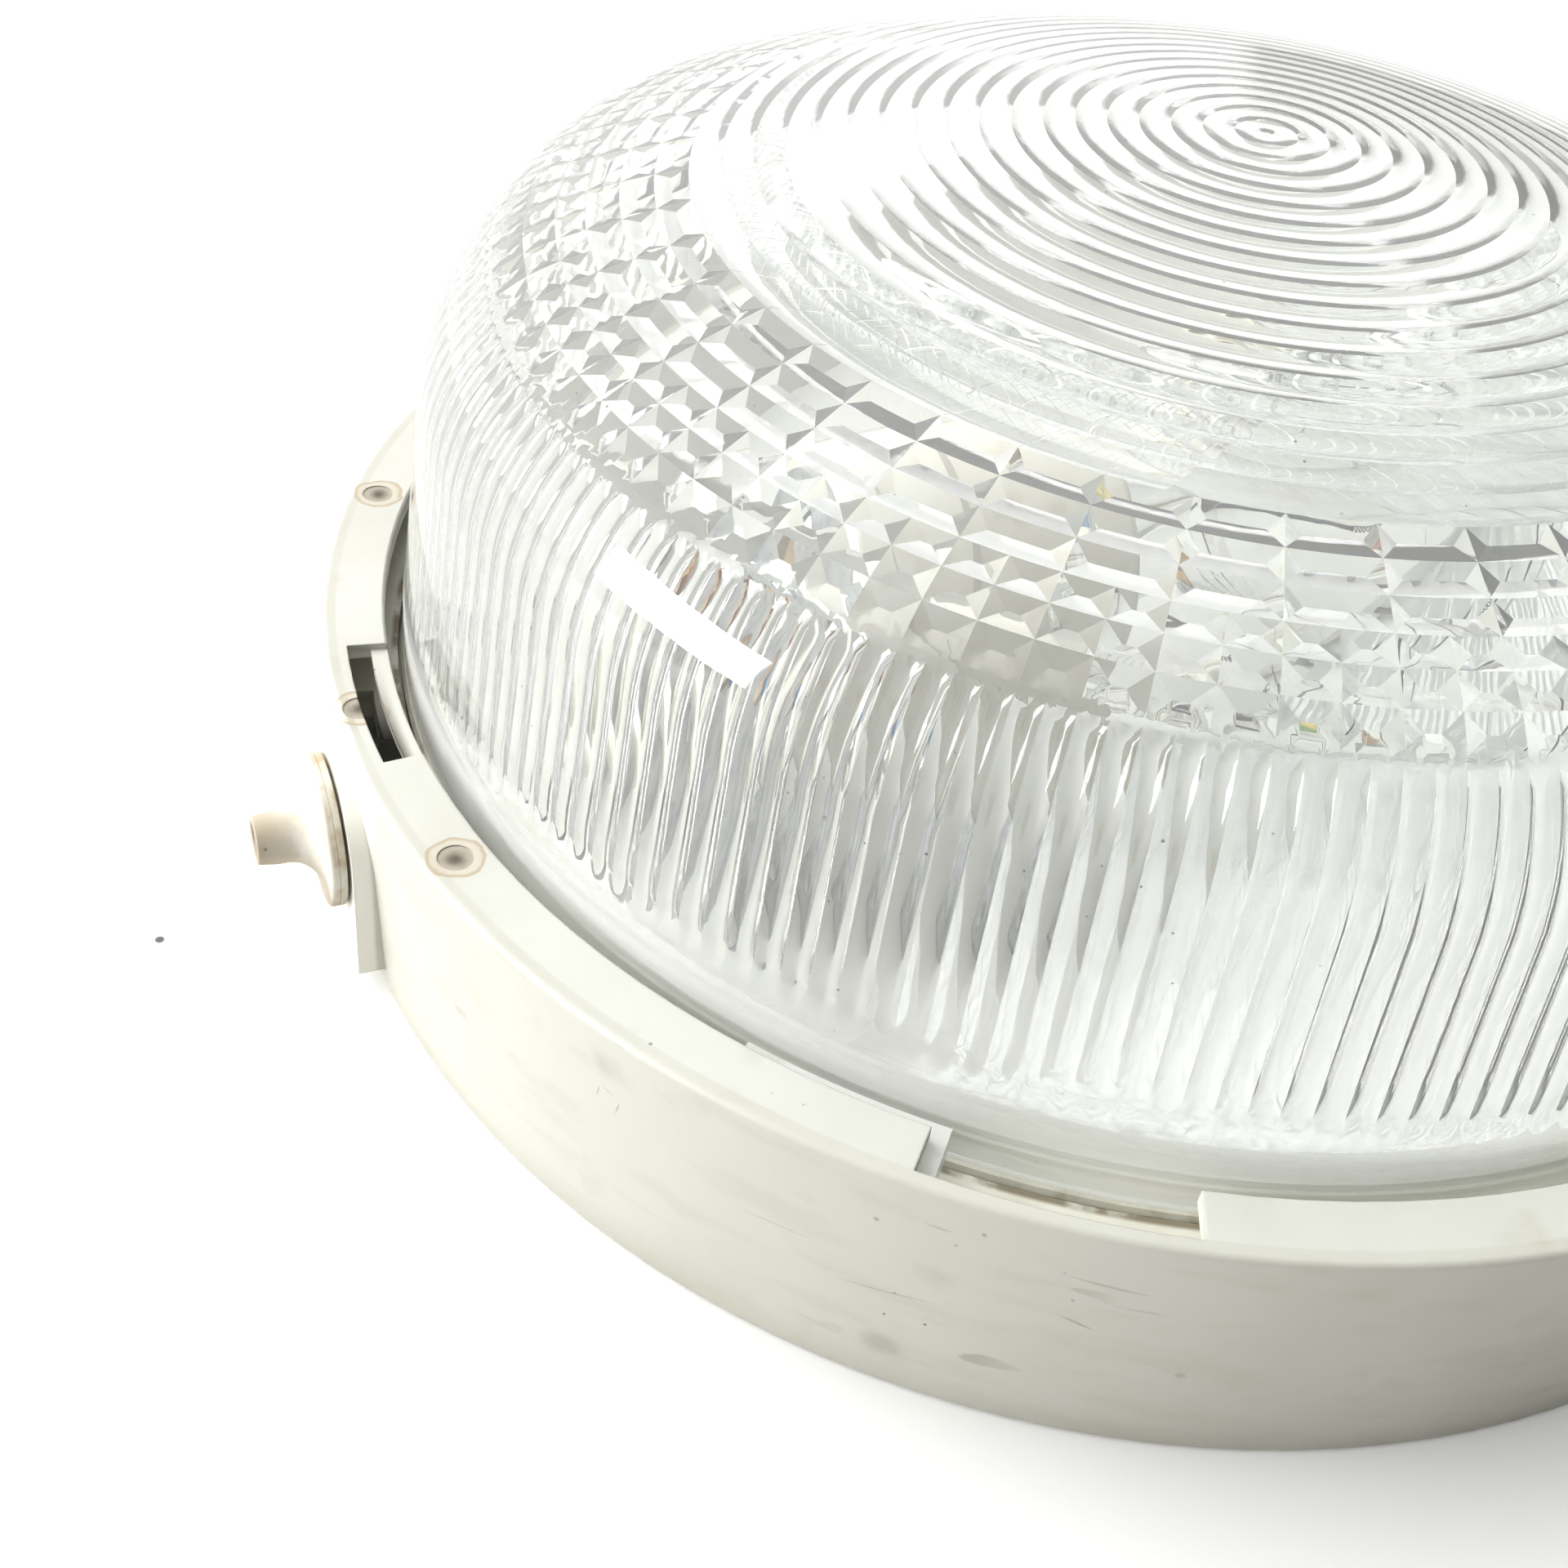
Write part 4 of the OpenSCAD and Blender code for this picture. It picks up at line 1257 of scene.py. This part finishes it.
@dataclass
class Softbox:
    """One soft lamp: where it stands, seen from the middle of the light, its size and power."""

    name: str
    azimuth: float
    rise: float
    away: float
    wide: float
    tall: float
    watts: float
    glint: bool = False
    matte: bool = False

    def hang(self, target: Vector) -> None:
        """Hang the lamp so that it faces the target."""
        data = bpy.data.lights.new(self.name, "AREA")
        data.shape, data.size, data.size_y = "RECTANGLE", self.wide, self.tall
        data.energy = self.watts
        lamp = bpy.data.objects.new(self.name, data)
        lamp.visible_diffuse = not self.glint
        lamp.visible_glossy = lamp.visible_transmission = not self.matte
        a, e = math.radians(self.azimuth), math.radians(self.rise)
        way = Vector((math.cos(a) * math.cos(e), math.sin(a) * math.cos(e), math.sin(e)))
        lamp.location = target + way * self.away
        lamp.rotation_euler = way.to_track_quat("Z", "Y").to_euler()
        bpy.context.scene.collection.objects.link(lamp)
        log.info("hung %s", self.name)


@dataclass
class Camera:
    """The camera: its place, heading from +Y towards +X, dip below level, roll and lens."""

    place: tuple[float, float, float] = (-0.15124, -0.19604, 0.19611)
    heading: float = 26.156
    dip: float = 39.969
    roll: float = 7.253
    lens: float = 44.82

    def stand(self) -> None:
        """Stand the camera and make it the scene's own."""
        data = bpy.data.cameras.new("camera")
        data.lens, data.sensor_width = self.lens, 36.0
        data.clip_start, data.clip_end = 0.005, 50.0
        camera = bpy.data.objects.new("camera", data)
        turn = (
            Matrix.Rotation(math.radians(-self.heading), 4, "Z")
            @ Matrix.Rotation(math.radians(90 - self.dip), 4, "X")
            @ Matrix.Rotation(math.radians(self.roll), 4, "Z")
        )
        camera.matrix_world = Matrix.Translation(self.place) @ turn
        bpy.context.scene.collection.objects.link(camera)
        bpy.context.scene.camera = camera


@dataclass
class Studio:
    """A plain pale floor under plain soft light."""

    floor_r: float = 4.0
    floor_lift: float = 0.1
    target: Vector = field(default_factory=lambda: Vector((0.0, 0.0, 0.05)))
    sky: float = 0.8
    exposure: float = 0.12
    gamma: float = 0.87
    bright_side: tuple[float, float, float] = (-0.45, 0.55, 0.70)
    watcher: tuple[float, float, float] = (-0.29, -0.37, 0.88)

    def build(self) -> None:
        """Lay the floor, hang the lamps, light the room and stand the camera."""
        self.lay_floor()
        for box in (
            Softbox("window_box", 174.0, 12.0, 1.3, 0.62, 0.34, 4.2),
            Softbox("window_glint", 174.0, 12.0, 1.29, 0.6, 0.33, 22.0, glint=True),
            Softbox("key_box", 135.0, 50.0, 1.5, 1.1, 1.1, 9.0, matte=True),
        ):
            box.hang(self.target)
        self.light_room()
        Camera().stand()
        view = bpy.context.scene.view_settings
        view.view_transform = "Standard"
        view.exposure = self.exposure
        view.gamma = self.gamma

    def lay_floor(self) -> None:
        """Lay a round floor just under the back face."""
        bm = bmesh.new()
        low = Matrix.Translation((0, 0, -0.2 * MM))
        bmesh.ops.create_circle(bm, cap_ends=True, segments=96, radius=self.floor_r, matrix=low)
        mesh = bpy.data.meshes.new("floor")
        bm.to_mesh(mesh)
        bm.free()
        bench = Bench("pale_floor")
        cloud = bench.noise(9.0, 4.0)
        some = bench.fade(bench.noise(9.0), 0.46, 0.54)
        colour = bench.blend(cloud, shade("eeeeed"), shade("eaeae9"))
        colour = bench.tint(colour, "3f3b36", bench.specks(42.0, 0.034), some, 0.95)
        seen = bench.node("ShaderNodeLightPath").outputs["Is Camera Ray"]
        skin = bench.node(
            "ShaderNodeBsdfPrincipled",
            {
                "Base Color": colour,
                "Roughness": 0.7,
                "Normal": bench.emboss(bench.noise(700.0), 0.03 * MM),
                "Emission Color": (1.0, 1.0, 1.0, 1.0),
                "Emission Strength": bench.times(seen, self.floor_lift),
            },
        )
        mesh.materials.append(bench.close(skin.outputs[0]))
        floor = bpy.data.objects.new("floor", mesh)
        bpy.context.scene.collection.objects.link(floor)

    def light_room(self) -> None:
        """Light the room: bright above and behind, dimmer in front, with one grey wall far behind."""
        world = bpy.data.worlds.new("room")
        bpy.context.scene.world = world
        world.use_nodes = True
        tree = world.node_tree
        tree.nodes.clear()
        bench = Bench("room_plan")
        bpy.data.materials.remove(bench.material)
        bench.tree = tree
        way = bench.node("ShaderNodeTexCoord").outputs["Generated"]
        x, y, z = bench.axes(way)
        lit = bench.towards(way, self.bright_side)
        glow = bench.between(bench.fade(lit, 0.1, 0.95), 0.05, 2.4)
        seen = bench.between(bench.fade(lit, -0.4, 0.8), 0.8, 1.5)
        turn = bench.sums("ARCTAN2", y, x)
        wall = bench.times(
            bench.fade(turn, math.radians(54.5), math.radians(53.0)),
            bench.fade(turn, math.radians(20.0), math.radians(26.0)),
            bench.fade(z, 0.42, 0.24),
        )
        over = bench.fade(bench.towards(way, self.watcher), 0.84, 0.94)
        wall = bench.sums("MAXIMUM", wall, bench.times(over, 0.95))
        path = bench.node("ShaderNodeLightPath").outputs
        looked = bench.sums("MAXIMUM", path["Is Glossy Ray"], path["Is Transmission Ray"])
        looked = bench.sums("MAXIMUM", path["Is Camera Ray"], looked)
        dimmed = bench.times(seen, bench.between(wall, 1.0, 0.45))
        level = bench.node("ShaderNodeMix", {0: looked, 2: glow, 3: dimmed}).outputs[0]
        power = bench.times(level, self.sky)
        back = bench.node("ShaderNodeBackground", {"Color": (1.0, 1.0, 0.995, 1.0), "Strength": power})
        bench.node("ShaderNodeOutputWorld", {"Surface": back.outputs[0]})


def main() -> None:
    """Build the light piece by piece."""
    logging.basicConfig(level=logging.INFO, format="%(message)s")
    maker = Maker(Finishes())
    thread = Thread()
    Studio().build()
    Housing(maker).build()
    Wiring(maker).build()
    Holder(maker, thread).build()
    Lamp(maker, thread).build()
    PrismaticGlass(maker).build()


if __name__ == "__main__":
    main()
